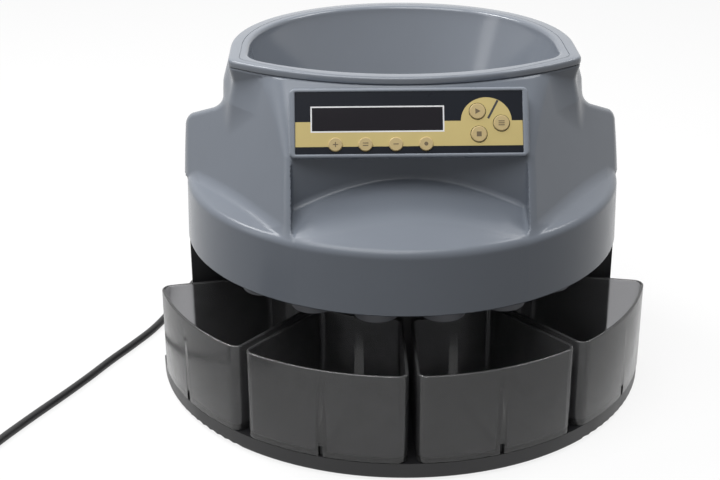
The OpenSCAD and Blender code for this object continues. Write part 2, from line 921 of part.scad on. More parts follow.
module board_standoffs() {
    color(PALE) place()
        for (x = [standoff_inset, main_w - standoff_inset])
            for (y = [standoff_inset, main_l - standoff_inset])
                translate([main_x + x, main_y + y, base_top_z]) cylinder(r = standoff_r, h = standoff_h);
}

// Transformer: a laminated core round a coil, on a foot plate
module power_supply() {
    low = base_top_z + supply_foot_t;
    color(STEEL) place() translate([supply_x, supply_y, low]) {
        block(-supply_foot_w, 0, -supply_foot_t, supply_w + 2 * supply_foot_w, supply_l, supply_foot_t);
        block(0, winding_over, -over, supply_w, supply_l - 2 * winding_over, supply_h + over);
        block((supply_w - winding_w) / 2, 0, winding_gap, winding_w, supply_l, supply_h - 2 * winding_gap);
    }
}

module power_switch() {
    pocket_w = switch_w - 2 * switch_wall;
    pocket_h = switch_h - 2 * switch_wall;
    color(BLACK) on_rear(switch_x, switch_z) difference() {
        union() {
            linear_extrude(switch_rim_t)
                rounded_rect(switch_w + 2 * switch_rim, switch_h + 2 * switch_rim, switch_rim);
            translate([0, 0, (over - switch_depth) / 2])
                cube([switch_w - fit, switch_h - fit, switch_depth + over], center = true);
        }
        translate([0, 0, (over + switch_rim_t - rocker_depth) / 2])
            cube([pocket_w, pocket_h, rocker_depth + switch_rim_t + over], center = true);
        translate([0, 0, rocker_pivot]) rotate([0, 90, 0])
            cylinder(r = rocker_pin_r + shaft_clear, h = switch_w + switch_wall, center = true);
    }
}

// Rocker with a shallow V face, tilted to one end of its travel
module switch_rocker() {
    half = switch_h / 2 - switch_wall - rocker_gap;
    width = switch_w - 2 * switch_wall - 2 * fit;
    low = 2.5;
    color(BLACK) on_rear(switch_x, switch_z) translate([0, 0, rocker_pivot]) rotate([rocker_tilt, 0, 0]) {
        translate([-width / 2, 0, 0]) rotate([90, 0, 90]) linear_extrude(width)
            polygon([
                [-half, -low], [0, -2 * low], [half, -low],
                [half, rocker_rise], [0, rocker_rise / 2], [-half, rocker_rise]
            ]);
        rotate([0, 90, 0]) cylinder(r = rocker_pin_r, h = switch_w - switch_wall, center = true);
    }
}

// Half section of the drum below the ledge, moved in by t
module band_section(t, low_z) {
    r = max(ledge_round - t, 0.5);
    mid = [drum_edge_r - ledge_round, ledge_z - ledge_round];
    crest = mid + r * [sin(ledge_angle), cos(ledge_angle)];
    translate(mid) circle(r);
    polygon([[0, low_z], [drum_r - t, low_z], mid + [r, 0], crest, [0, crest.y + ledge_rise * crest.x]]);
}

// Plan that cuts the shoulders off at the flat cheeks beside the tower
module cheek_plan(t) {
    foot = (tower_r - t) * [sin(cheek_angle), -cos(cheek_angle)];
    end = foot + far * [cos(cheek_angle), sin(cheek_angle)];
    polygon([[-foot.x, foot.y], foot, end, [end.x, 2 * far], [-end.x, 2 * far], [-end.x, end.y]]);
}

// Everything under the roof of the right shoulder, lowered by t
module under_roof(t) {
    edge = sqrt(drum_top_r * drum_top_r - tower_r * tower_r);
    drop = t * norm([1, shoulder_rise, shoulder_fall]);
    high = shoulder_z + shoulder_rise * edge - shoulder_fall * tower_r - drop;
    at_angle(cheek_angle) multmatrix([[1, 0, 0, 0], [0, 1, 0, 0], [shoulder_fall, -shoulder_rise, 1, high]])
        block(-far, -far, -far, 2 * far, 2 * far, far);
}

// Everything behind the tower's sloping front, moved in by t
module behind_front(t) {
    stack([
        for (z = [tower_foot_z, panel_z, mix(panel_z, tower_top_z, 0.5), tower_top_z])
            [for (a = turns(inner_columns)) polar(slope_reach(a, z, t), a, z)]
    ]);
}

// Wings each side of the tower: flat cheeks in front, roofs that fall away to the sides and the rear
module shoulders(t) {
    r = max(shoulder_round - t, 0.5);
    intersection() {
        translate([0, 0, tower_foot_z]) linear_extrude(tower_top_z - tower_foot_z)
            offset(r = r) offset(delta = -r) intersection() {
                circle(drum_top_r - t);
                cheek_plan(t);
            }
        under_roof(t);
        mirror([1, 0, 0]) under_roof(t);
        behind_front(t + front_gap);
    }
}

module tower(t) {
    top = tower_top_z - t;
    levels = [tower_foot_z, ledge_z, for (i = [0 : tower_steps]) mix(panel_z, top, i / tower_steps)];
    stack([
        for (z = levels)
            [for (a = turns(t > 0 ? inner_columns : outer_columns)) polar(tower_reach(a, z, t), a, z)]
    ]);
}

// Hollow under the panel, grown by t
module recess(t) {
    roof = t > 0 ? recess_roof : 0;
    low_z = tower_foot_z - over;
    h = panel_z + roof - low_z;
    intersection() {
        translate([0, recess_depth - panel_y - recess_r, low_z]) cylinder(r = recess_r + t, h = h);
        block(-recess_half_w - t, -far, low_z, 2 * (recess_half_w + t), far, h);
    }
}

// Outer form of the grey housing, or its inside when t is the wall
module housing_form(t) {
    rotate_extrude() band_section(t, t > 0 ? rim_z - over : rim_z);
    difference() {
        union() {
            tower(t);
            shoulders(t);
        }
        recess(t);
    }
}

// Everything above the roof of the recess
module above_recess(gap) {
    block(-far, -far, panel_z + recess_roof + gap, 2 * far, 2 * far, far);
}

module bezel_plan(gap) {
    translate([0, bezel_h / 2]) rounded_rect(bezel_w + 2 * gap, bezel_h + 2 * gap, bezel_round + gap);
}

module upper_housing() {
    color(GREY) difference() {
        place() housing_form(0);
        place() housing_form(wall);
        place() stack([
            for (z = [tower_top_z - 2 * wall, tower_top_z + over])
                [for (a = turns(inner_columns)) polar(mouth_reach(a) + funnel_wall + hole_gap, a, z)]
        ]);
        intersection() {
            on_panel() translate([0, 0, -2 * bezel_depth]) linear_extrude(2 * bezel_depth + over)
                bezel_plan(fit);
            place() above_recess(0);
        }
    }
}

// Hopper: a rounded lip round the mouth, and the funnel below it, as one closed shell
module hopper_funnel() {
    angles = turns(outer_columns);
    shares = [for (i = [0 : funnel_steps]) i / funnel_steps];
    rings = [
        [for (a = angles) polar(lip_reach(a) - lip_edge / 2, a, tower_top_z)],
        [for (a = angles) polar(lip_reach(a), a, tower_top_z + lip_edge / 2)],
        [for (a = angles) polar(lip_reach(a), a, lip_z - lip_edge)],
        [for (a = angles) polar(lip_reach(a) - lip_edge * 0.3, a, lip_z - lip_edge * 0.3)],
        [for (a = angles) polar(lip_reach(a) - lip_edge, a, lip_z)],
        [for (a = angles) polar(mouth_reach(a) + mouth_edge, a, lip_z)],
        [for (a = angles) polar(mouth_reach(a) + mouth_edge * 0.3, a, lip_z - mouth_edge * 0.3)],
        for (s = shares) [for (a = angles) polar(funnel_reach(a, s), a, funnel_z(s))],
        for (i = [funnel_steps : -1 : 1])
            [for (a = angles) polar(funnel_reach(a, shares[i]) + funnel_wall, a, funnel_z(shares[i]))],
        [for (a = angles) polar(mouth_reach(a) + funnel_wall, a, tower_top_z)]
    ];
    color(GREY) place() polyhedron(
        points = [for (ring = rings) each ring],
        faces = ring_faces(len(rings), outer_columns, closed = true),
        convexity = 6
    );
}

module at_buttons() {
    for (b = BUTTONS)
        translate([b[1].x, b[1].y, 0]) let ($r = b[2]) children();
}

module at_window() {
    translate([window_x, window_v, 0]) children();
}

// Frame of the panel: a plate with a sunk place for the label, and a box behind it that fills the opening
module panel_bezel() {
    color(PALE) difference() {
        union() {
            on_panel() linear_extrude(bezel_t) bezel_plan(0);
            intersection() {
                on_panel() translate([0, 0, -bezel_depth]) linear_extrude(bezel_depth + over) bezel_plan(0);
                place() above_recess(fit);
            }
        }
        on_panel() difference() {
            translate([-bezel_w / 2 + bezel_wall, -far, -2 * bezel_depth])
                cube([bezel_w - 2 * bezel_wall, far + bezel_h - bezel_wall, 2 * bezel_depth + bezel_back]);
            for (x = [-peg_x, peg_x])
                for (v = peg_vs)
                    translate([x, v, board_front]) cylinder(r = peg_r, h = bezel_t - board_front);
        }
        on_panel() {
            translate([0, bezel_h / 2, label_floor]) linear_extrude(far)
                square([label_w, label_h], center = true);
            at_window() translate([0, 0, window_floor]) linear_extrude(far)
                square([window_w, window_h], center = true);
            at_window() cube([window_w - 2 * window_seat, window_h - 2 * window_seat, far], center = true);
            at_buttons() {
                translate([0, 0, cap_floor]) cylinder(r = $r + button_clear, h = far);
                translate([0, 0, bezel_back - over]) cylinder(r = stem_r + button_clear, h = far);
            }
        }
        place() translate([0, mouth_front_r - mouth_front_y, 0])
            cylinder(r = mouth_front_r + funnel_wall + hole_gap, h = far);
    }
}

module membrane_label() {
    color(BLACK) on_panel() translate([0, 0, label_floor]) linear_extrude(label_t) difference() {
        translate([0, bezel_h / 2]) square([label_w - fit, label_h - fit], center = true);
        at_window() square([window_w, window_h], center = true);
        at_buttons() circle($r + button_clear);
    }
}

module display_window() {
    color(SMOKE) on_panel() at_window() translate([0, 0, window_floor]) linear_extrude(window_t)
        square([window_w - fit, window_h - fit], center = true);
}

module display_module() {
    gap = 2 * window_seat + 2 * fit;
    color(BLACK) on_panel() at_window() translate([0, 0, board_front])
        linear_extrude(window_floor - board_front) square([window_w - gap, window_h - gap], center = true);
}

// Board behind the panel, with a small switch under each button
module panel_board() {
    color(GREEN) on_panel() {
        translate([-board_half_w, board_low_v, board_front - board_t])
            cube([2 * board_half_w, board_high_v - board_low_v, board_t]);
        at_buttons() translate([-tact_half, -tact_half, board_front - board_t / 2])
            cube([2 * tact_half, 2 * tact_half, tact_h + board_t / 2]);
    }
}

// A button: a cap with a bevelled edge, on a stem
module button(i) {
    r = BUTTONS[i][2];
    color(GOLD) on_panel() translate([BUTTONS[i][1].x, BUTTONS[i][1].y, 0]) {
        translate([0, 0, cap_low]) cylinder(r = r, h = cap_t - cap_edge);
        translate([0, 0, cap_low + cap_t - cap_edge]) cylinder(r1 = r, r2 = r - cap_edge, h = cap_edge);
        translate([0, 0, stem_low]) cylinder(r = stem_r, h = stem_len + over);
    }
}

module button_start() button(0);
module button_mode() button(1);
module button_batch() button(2);
module button_plus() button(3);
module button_total() button(4);
module button_minus() button(5);
module button_set() button(6);

// Strain relief: clipped through the wall by two flanges, tapering towards the cord
module strain_relief() {
    groove_step = (relief_len - 2 * relief_flange_t) / (relief_grooves + 1);
    taper = (relief_r - relief_tip_r) / (relief_len - relief_flange_t);
    color(BLACK) on_rear(exit_x, exit_z) difference() {
        rotate_extrude() polygon([
            [0, -lower_wall - relief_flange_t], [relief_flange_r, -lower_wall - relief_flange_t],
            [relief_flange_r, -lower_wall], [relief_neck_r, -lower_wall], [relief_neck_r, 0],
            [relief_flange_r, 0], [relief_flange_r, relief_flange_t], [relief_r, relief_flange_t],
            [relief_tip_r, relief_len], [0, relief_len]
        ]);
        for (i = [1 : relief_grooves])
            ring(relief_flange_r, relief_r - taper * i * groove_step - groove_depth,
                relief_flange_t + i * groove_step, groove_w);
    }
}

module cord() {
    color(BLACK) tube(curve(CORD_ROUTE, cord_steps), [0, 1, 0], [0, -1, 0], cord_sides);
}

module cord_coil() {
    color(BLACK) tube(coil_path, [0, -1, 0], [0, -1, 0], coil_sides);
}

// Tie round the turns at the near side of the coil
module cord_tie() {
    turn = 0.25;
    out_y = coil_y - coil_out_r + coil_pitch * turn - cord_r - tie_gap;
    in_y = coil_y - coil_out_r + coil_pitch * (turn + floor(coil_turns / 2)) + cord_r + tie_inner_gap;
    low_z = coil_low_z - cord_r - tie_gap;
    high_z = coil_high_z + cord_r + tie_gap;
    color(BLACK) difference() {
        translate([coil_x - tie_w / 2, out_y - tie_t, low_z - tie_t])
            cube([tie_w, in_y - out_y + 2 * tie_t, high_z - low_z + 2 * tie_t]);
        translate([coil_x - tie_w, out_y, low_z]) cube([2 * tie_w, in_y - out_y, high_z - low_z]);
    }
}

// Puts children at the plug's face, Z pointing out of it
module on_plug() {
    translate([coil_end_x, coil_y - coil_tail - plug_len, coil_high_z]) rotate([90, 0, 0]) children();
}

module plug() {
    color(BLACK) on_plug() {
        hull() {
            translate([0, 0, plug_neck - plug_len]) cylinder(r = cord_d, h = 1, $fn = 32);
            translate([0, 0, -plug_head]) linear_extrude(plug_head)
                rounded_rect(plug_w, plug_t, plug_round, $fn = 32);
        }
        translate([0, 0, -plug_len]) cylinder(r1 = cord_r + 1, r2 = cord_d, h = plug_neck + over / 2);
    }
}

module plug_pins() {
    color(STEEL) on_plug()
        for (x = [-pin_apart / 2, pin_apart / 2])
            translate([x, 0, 0]) {
                cylinder(r = pin_r, h = pin_len - pin_r);
                translate([0, 0, pin_len - pin_r]) sphere(r = pin_r);
            }
}

base_plate();
rubber_feet();
lower_housing();
coin_cup_1();
coin_cup_2();
coin_cup_3();
coin_cup_4();
coin_deck();
coin_chutes_1();
coin_chutes_2();
coin_chutes_3();
coin_chutes_4();
sorting_track();
coin_sensors();
turntable();
turntable_pad();
hub_cap();
main_shaft();
shaft_bearings();
bearing_hub();
drive_pulley();
drive_belt();
motor_pulley();
motor_shaft();
drive_motor();
motor_plate();
motor_posts();
main_board();
board_standoffs();
power_supply();
power_switch();
switch_rocker();
upper_housing();
hopper_funnel();
panel_bezel();
membrane_label();
display_window();
display_module();
panel_board();
button_start();
button_mode();
button_batch();
button_plus();
button_total();
button_minus();
button_set();
strain_relief();
cord();
cord_coil();
cord_tie();
plug();
plug_pins();
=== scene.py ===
"""Looks of an electronic coin counter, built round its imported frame.

Sizes are in millimetres, measured from the drum's axis on the table, with the front towards -Y.
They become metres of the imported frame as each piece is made.
"""

import json
import math

import bpy
import numpy as np
from mathutils import Matrix, Vector


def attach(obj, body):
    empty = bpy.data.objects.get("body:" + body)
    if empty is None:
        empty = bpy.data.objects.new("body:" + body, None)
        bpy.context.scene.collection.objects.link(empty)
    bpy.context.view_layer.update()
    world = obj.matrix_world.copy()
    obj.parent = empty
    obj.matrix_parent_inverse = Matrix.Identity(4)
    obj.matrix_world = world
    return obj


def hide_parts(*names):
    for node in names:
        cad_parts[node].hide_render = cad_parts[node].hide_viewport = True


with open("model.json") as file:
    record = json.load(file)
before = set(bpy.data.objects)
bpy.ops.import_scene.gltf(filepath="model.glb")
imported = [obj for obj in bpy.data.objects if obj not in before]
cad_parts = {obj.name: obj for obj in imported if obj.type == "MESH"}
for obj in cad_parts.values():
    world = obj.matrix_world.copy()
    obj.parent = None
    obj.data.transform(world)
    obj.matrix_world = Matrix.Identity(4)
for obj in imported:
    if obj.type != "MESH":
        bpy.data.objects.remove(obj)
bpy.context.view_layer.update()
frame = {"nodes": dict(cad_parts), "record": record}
nodes = frame["nodes"]

MM = 0.001

# Cup sizes
CUP_R = 179.5
CUP_INNER_R = 97
CUP_LOW_Z = 13.3
CUP_TOP_Z = 78
CUP_WALL = 2.2
CUP_PITCH = 39
CUP_GAP = 5
CUP_CORNER_R = 7
CUP_INNER_ROUND = 4
CUP_FLOOR_ROUND = 3
CUP_EDGE = 0.8
CUP_LEAST_ROUND = 0.5
CUP_COUNT = 4
TUNNEL_W = 3.2
TUNNEL_H = 8.4
TUNNEL_BITE = 1

# Housing sizes
DRUM_R = 156
DRUM_DRAFT = 2.2
WALL = 3
RIM_Z = 108.6
RIM_ROUND = 0.8
LEDGE_Z = 154
LEDGE_ROUND = 4
LEDGE_RISE = 0.2
TRAY_RISE = 0.42
TRAY_HALF_W = 70
TRAY_FADE = 30
SHOULDER_R = 157.4
SHOULDER_Z = 193
SHOULDER_RISE = 0.42
SHOULDER_FALL = 0.1
ROOF_ROUND = 7
TOWER_R = 126.3
TOWER_Z = 240.5
TOWER_DRAFT = 0.28
TOWER_DRAFT_Z = 222
FLARE_SLOPE = 0.42
FLARE_EASE = 8
FLARE_FROM = 0.1
FLARE_FULL = 0.6
FOOT_INSET = 1.5
PANEL_Z = 198.8
PANEL_Y = 105.5
PANEL_LEAN = math.radians(30)
CHEEK_ANGLE = math.radians(58)
CHEEK_FOOT_R = 136.7
CHEEK_SLOPE = 0.314
RIDGE_ROUND = 6
EDGE_ROUND = 4
RECESS_HALF_W = 77
RECESS_DEPTH = 14
RECESS_R = 226
RECESS_ROUND = 1.5
TRAY_ROUND = 3
VALLEY_ROUND = 8
FOOT_ROUND = 5
FOOT_SHARE = 0.7
SHARP_ROUND = 0.8
TOP_ROUND = 2
COVE_SLOPE = 0.25
COVE_SHARE = 0.6
COVE_ROUND = 16
LEAST_ROUND = 0.05

# Hopper sizes
LIP_R = 124
LIP_HALF_W = 120.5
LIP_FALL = 2.5
REAR_FROM = math.radians(100)
LIP_CORNER_EASE = 4
LIP_T = 4.8
LIP_EDGE = 1.6
LIP_FRONT_Y = 81.5
LIP_FRONT_R = 186
MOUTH_R = 109
MOUTH_HALF_W = 107
MOUTH_EDGE = 3
MOUTH_FRONT_Y = 70
MOUTH_CORNER_EASE = 12
MOUTH_FRONT_R = 169
FUNNEL_END_R = 72
FUNNEL_END_Z = 151
FUNNEL_WALL = 2.4
FUNNEL_BEND = 1.1
HOLE_GAP = 1

# Panel sizes
BEZEL_W = 156
BEZEL_H = 46
BEZEL_T = 2.5
BEZEL_DEPTH = 8
BEZEL_CORNER_DEPTH = 15
BEZEL_WALL = 2.4
BEZEL_OVERLAP = 1
BEZEL_BACK = 2
BEZEL_ROUND = 4
BEZEL_LEAST_ROUND = 0.6
BEZEL_EDGE = 1.4
BEZEL_INNER_EDGE = 0.8
BEZEL_SIDE = 4
BEZEL_STRIP = 2.6
LABEL_FACE = 1.9
LABEL_FLOOR = 1.5
WINDOW_X = -20.5
WINDOW_V = 25.4
WINDOW_W = 86.8
WINDOW_H = 17.2
BUTTON_R = 5.2
SMALL_BUTTON_R = 4.6
BUTTON_CLEAR = 0.4
BUTTON_RISE = 1
# Middle across the panel and up it, and radius of each button
BUTTONS = {
    "start": (44.5, 29.9, BUTTON_R),
    "mode": (60, 22, BUTTON_R),
    "batch": (45.3, 14.9, BUTTON_R),
    "plus": (-47.9, 8.8, SMALL_BUTTON_R),
    "total": (-28.4, 8.8, SMALL_BUTTON_R),
    "minus": (-8.7, 8.8, SMALL_BUTTON_R),
    "set": (10.9, 8.8, SMALL_BUTTON_R),
}

# Cord sizes
CORD_D = 6
REAR_Y = 147.5
RELIEF_LEN = 26

# Sizes that follow from them
drum_edge_r = DRUM_R - DRUM_DRAFT / 2
drum_top_r = DRUM_R - DRUM_DRAFT
tower_foot_r = drum_edge_r - FOOT_INSET
lip_z = TOWER_Z + LIP_T

# The drum's axis stands behind the middle of the frame
corner_turn = math.asin((CUP_GAP / 2 + CUP_CORNER_R) / (CUP_R - CUP_CORNER_R))
AXIS_Y = (CUP_R * math.cos(corner_turn) - DRUM_R) / 2
AXIS = Matrix.Translation((0, AXIS_Y * MM, 0))


def place(name, data):
    """A new object in the scene."""
    made = bpy.data.objects.new(name, data)
    bpy.context.scene.collection.objects.link(made)
    return made


def eased(s):
    """Goes from 0 to 1 with a soft start and a soft end."""
    c = np.clip(s, 0, 1)
    return c * c * (3 - 2 * c)


# Camera at the photograph's view, in millimetres and degrees
CAMERA_AT = (-48.34, -979.27, 525.74)
CAMERA_TURN = -1.054
CAMERA_DOWN = 23.757
CAMERA_ROLL = -0.192
CAMERA_LENS = 71.9
SENSOR_W = 36
CLIP_END = 20000


def add_camera():
    """The camera that sees what the photograph shows."""
    data = bpy.data.cameras.new("camera")
    data.lens = CAMERA_LENS
    data.sensor_width = SENSOR_W
    data.clip_end = CLIP_END * MM
    camera = place("camera", data)
    camera.matrix_world = (
        AXIS
        @ Matrix.Translation(Vector(CAMERA_AT) * MM)
        @ Matrix.Rotation(math.radians(CAMERA_TURN), 4, "Z")
        @ Matrix.Rotation(math.radians(90 - CAMERA_DOWN), 4, "X")
        @ Matrix.Rotation(math.radians(CAMERA_ROLL), 4, "Z")
    )
    bpy.context.scene.camera = camera


# Cord, in the frame's own coordinates
COIL_X = -344
COIL_Y = -194
COIL_R = 42
COIL_TURNS = 5
COIL_PITCH = 6.7
COIL_LOW_Z = 3.9
COIL_LAYER = 6.6
COIL_CLIMB = 0.5
COIL_TAIL = 24
COIL_STEPS = 36
CURVE_STEPS = 8
CORD_ROUND_STEPS = 5
EXIT_X = -24
EXIT_Z = 26
exit_y = AXIS_Y + REAR_Y + RELIEF_LEN
coil_end_x = COIL_X + COIL_R
# Points listed from the machine's rear to the coil
CORD_ROUTE = [
    (EXIT_X, exit_y, EXIT_Z), (EXIT_X, exit_y + 16, EXIT_Z), (-29, exit_y + 38, 20), (-46, exit_y + 55, 10),
    (-76, exit_y + 58, 4), (-110, 226, 3), (-140, 194, 3), (-162, 152, 3), (-176, 108, 3), (-185, 74, 3),
    (-194, 48, 3), (-207, 22, 3), (-220, -2, 3), (-233, -28, 3), (-247, -54, 3), (-264, -84, 3),
    (-281, -116, 3), (-294, -146, 3.4), (coil_end_x, COIL_Y + CORD_D + 16, COIL_LOW_Z),
    (coil_end_x, COIL_Y + CORD_D, COIL_LOW_Z),
]


def curve_through(route, steps):
    """Points of a smooth curve through a route."""
    p = [Vector(x) for x in route]
    p = [p[0], *p, p[-1]]
    points = []
    for a, b, c, d in zip(p, p[1:], p[2:], p[3:]):
        for k in range(steps):
            s = k / steps
            bend = (2 * a - 5 * b + 4 * c - d) * s + (3 * b - a - 3 * c + d) * s * s
            points.append(b + (c - a + bend) * s / 2)
    return points + [p[-1]]


def coil_points():
    """The coil: in on the lower layer, up in the half turn where it reverses, and out above."""
    points = []
    for k in range(COIL_TURNS * COIL_STEPS + 1):
        turn = k / COIL_STEPS
        reach = COIL_R - COIL_PITCH * min(turn, COIL_TURNS - turn)
        lift = eased((turn - (COIL_TURNS - COIL_CLIMB) / 2) / COIL_CLIMB)
        angle = math.tau * turn
        points.append(Vector((
            COIL_X + reach * math.cos(angle),
            COIL_Y - reach * math.sin(angle),
            COIL_LOW_Z + COIL_LAYER * lift,
        )))
    return points + [Vector((coil_end_x, COIL_Y - COIL_TAIL, COIL_LOW_Z + COIL_LAYER))]


def add_cord(material):
    """The mains cord, along its route and round its coil."""
    points = curve_through(CORD_ROUTE, CURVE_STEPS) + coil_points()
    data = bpy.data.curves.new("mains_cord", "CURVE")
    data.dimensions = "3D"
    data.bevel_depth = CORD_D / 2 * MM
    data.bevel_resolution = CORD_ROUND_STEPS
    data.use_fill_caps = True
    spline = data.splines.new("POLY")
    spline.points.add(len(points) - 1)
    for point, at in zip(spline.points, points):
        point.co = (*(at * MM), 1)
    spline.use_smooth = True
    data.materials.append(material)
    cord = place("mains_cord", data)
    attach(cord, "frame")
    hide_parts("cord", "cord_coil")


# Materials
NOISE_LOW = 0.3
NOISE_HIGH = 0.7
GRAIN_STRENGTH = 0.5
GLOSS_SPREAD = 0.12
GRAIN_DETAIL = 2
# Scale per metre and detail of the noises
CLOUD_NOISE = (14, 4)
GLOSS_NOISE = (60, 4)
METAL_CLOUD_NOISE = (90, 4)
METAL_GLOSS_NOISE = (140, 3)
METAL_GRAIN_NOISE = (700, 2)
SMOKE_CLOUD_NOISE = (20, 3)
SMOKE_GLOSS_NOISE = (80, 4)
SMOKE_GRAIN_NOISE = (900, 2)
# Shares of a metal's colour and roughness between which its noises run
METAL_COLOURS = (0.88, 1.08)
METAL_GLOSS = (0.8, 1.25)
THIN_GRAIN = 0.01
SMOKE_CLEAR = (222, 222, 224)
SMOKE_CLOUD = 0.96
SMOKE_ROUGH = (0.17, 0.24)
SMOKE_DENSITY = 480
SMOKE_TINT = (0.3, 0.3, 0.31, 1)


def rgb(r, g, b):
    """Linear colour of a screen colour from 0 to 255."""
    channels = [c / 255 for c in (r, g, b)]
    return [c / 12.92 if c <= 0.04045 else ((c + 0.055) / 1.055) ** 2.4 for c in channels] + [1]


class Surface:
    """A node material, with helpers that add noise to its colour, roughness and height."""

    def __init__(self, name, rough, **sockets):
        self.material = bpy.data.materials.new(name)
        self.material.use_nodes = True
        self.tree = self.material.node_tree
        self.shader = self.tree.nodes["Principled BSDF"]
        self.shader.inputs["Roughness"].default_value = rough
        for socket, value in sockets.items():
            self.shader.inputs[socket.replace("_", " ")].default_value = value
        self.place = self.node("ShaderNodeTexCoord").outputs["Object"]

    def node(self, kind):
        return self.tree.nodes.new(kind)

    def link(self, out, into):
        self.tree.links.new(out, into)

    def noise(self, scale, detail, stretch=(1, 1, 1)):
        mapping = self.node("ShaderNodeMapping")
        mapping.inputs["Scale"].default_value = stretch
        self.link(self.place, mapping.inputs["Vector"])
        made = self.node("ShaderNodeTexNoise")
        made.inputs["Scale"].default_value = scale
        made.inputs["Detail"].default_value = detail
        self.link(mapping.outputs["Vector"], made.inputs["Vector"])
        return made.outputs["Fac"]

    def between(self, fac, low, high, socket):
        """Drives a number socket from low to high by a noise."""
        made = self.node("ShaderNodeMapRange")
        made.inputs["From Min"].default_value = NOISE_LOW
        made.inputs["From Max"].default_value = NOISE_HIGH
        made.inputs["To Min"].default_value = low
        made.inputs["To Max"].default_value = high
        self.link(fac, made.inputs["Value"])
        self.link(made.outputs["Result"], self.shader.inputs[socket])

    def colours(self, fac, low, high):
        """Drives the colour from low to high by a noise."""
        ramp = self.node("ShaderNodeValToRGB")
        stops = ((NOISE_LOW, low), (NOISE_HIGH, high))
        for element, (at, colour) in zip(ramp.color_ramp.elements, stops):
            element.position = at
            element.color = colour
        self.link(fac, ramp.inputs["Fac"])
        self.link(ramp.outputs["Color"], self.shader.inputs["Base Color"])

    def absorb(self, density, colour):
        """Darkens light on its way through the material."""
        volume = self.node("ShaderNodeVolumeAbsorption")
        volume.inputs["Density"].default_value = density
        volume.inputs["Color"].default_value = colour
        self.link(volume.outputs["Volume"], self.tree.nodes["Material Output"].inputs["Volume"])

    def grain(self, fac, height):
        """Gives the skin a fine relief of that height in millimetres."""
        bump = self.node("ShaderNodeBump")
        bump.inputs["Distance"].default_value = height * MM
        bump.inputs["Strength"].default_value = GRAIN_STRENGTH
        self.link(fac, bump.inputs["Height"])
        self.link(bump.outputs["Normal"], self.shader.inputs["Normal"])


def scaled(colour, share):
    """A darker or lighter colour of the same hue."""
    return [c * share for c in colour[:3]] + [1]


def moulded(name, colour, rough, spread=0.06, grain_size=0.5, grain_height=0.02, **sockets):
    """Moulded plastic: a faint cloud in its colour, uneven gloss and a fine skin."""
    made = Surface(name, rough, **sockets)
    made.colours(made.noise(*CLOUD_NOISE), scaled(colour, 1 - spread), scaled(colour, 1 + spread))
    made.between(
        made.noise(*GLOSS_NOISE), rough * (1 - GLOSS_SPREAD), rough * (1 + GLOSS_SPREAD), "Roughness"
    )
    made.grain(made.noise(1 / (grain_size * MM), GRAIN_DETAIL), grain_height)
    return made.material


def metal(name, colour, rough, stretch=(1, 1, 1)):
    """Brushed or turned metal."""
    made = Surface(name, rough, Metallic=1)
    made.colours(made.noise(*METAL_CLOUD_NOISE, stretch), *(scaled(colour, s) for s in METAL_COLOURS))
    made.between(made.noise(*METAL_GLOSS_NOISE, stretch), *(rough * s for s in METAL_GLOSS), "Roughness")
    made.grain(made.noise(*METAL_GRAIN_NOISE, stretch), THIN_GRAIN)
    return made.material


def smoke_plastic():
    """Smoke-tinted clear plastic of the cups, darker where the light's way through it is long."""
    made = Surface("cup_smoke", rough=0.2, Transmission_Weight=0.94, IOR=1.49, Specular_IOR_Level=0.3)
    clear = rgb(*SMOKE_CLEAR)
    made.colours(made.noise(*SMOKE_CLOUD_NOISE), scaled(clear, SMOKE_CLOUD), clear)
    made.between(made.noise(*SMOKE_GLOSS_NOISE), *SMOKE_ROUGH, "Roughness")
    made.grain(made.noise(*SMOKE_GRAIN_NOISE), THIN_GRAIN)
    made.absorb(SMOKE_DENSITY, SMOKE_TINT)
    return made.material


GLOSSY_SKIN = dict(spread=0.03, grain_size=2)
PRINTED = dict(spread=0.05, grain_size=0.3, grain_height=0.01)
# Colour, roughness and finish of each plastic, rubber and print
PLASTICS = {
    "housing_grey": dict(
        colour=rgb(112, 118, 127), rough=0.24, grain_height=0.004, Specular_IOR_Level=0.26, **GLOSSY_SKIN
    ),
    "hopper_grey": dict(
        colour=rgb(116, 122, 131), rough=0.16, grain_height=0.003, Specular_IOR_Level=0.5, **GLOSSY_SKIN
    ),
    "bezel_grey": dict(colour=rgb(126, 132, 141), rough=0.28, spread=0.03, Specular_IOR_Level=0.25),
    "base_black": dict(colour=rgb(28, 28, 30), rough=0.42),
    "foot_rubber": dict(colour=rgb(26, 26, 26), rough=0.8),
    "chute_pale": dict(colour=rgb(112, 114, 120), rough=0.42),
    "belt_rubber": dict(colour=rgb(28, 28, 29), rough=0.7),
    "pad_rubber": dict(colour=rgb(38, 38, 40), rough=0.75, grain_size=1.2, grain_height=0.1),
    "board_green": dict(colour=rgb(24, 84, 52), rough=0.45, spread=0.12),
    "switch_black": dict(colour=rgb(22, 22, 24), rough=0.34),
    "label_black": dict(colour=rgb(26, 29, 36), rough=0.3, Specular_IOR_Level=0.1, **PRINTED),
    "window_dark": dict(
        colour=rgb(30, 28, 33), rough=0.14, grain_height=0.003, Specular_IOR_Level=0.12, **GLOSSY_SKIN
    ),
    "display_black": dict(colour=rgb(14, 14, 15), rough=0.4),
    "button_gold": dict(colour=rgb(188, 168, 122), rough=0.42, spread=0.05, Specular_IOR_Level=0.3),
    "cord_black": dict(colour=rgb(24, 24, 25), rough=0.45, spread=0.05),
    "print_gold": dict(colour=rgb(200, 182, 124), rough=0.36, Specular_IOR_Level=0.15, **PRINTED),
    "print_pale": dict(colour=rgb(226, 226, 228), rough=0.4, **{**PRINTED, "spread": 0.02}),
    "print_black": dict(colour=rgb(24, 25, 30), rough=0.34, **PRINTED),
    "print_ink": dict(colour=rgb(92, 78, 52), rough=0.5, **PRINTED),
}
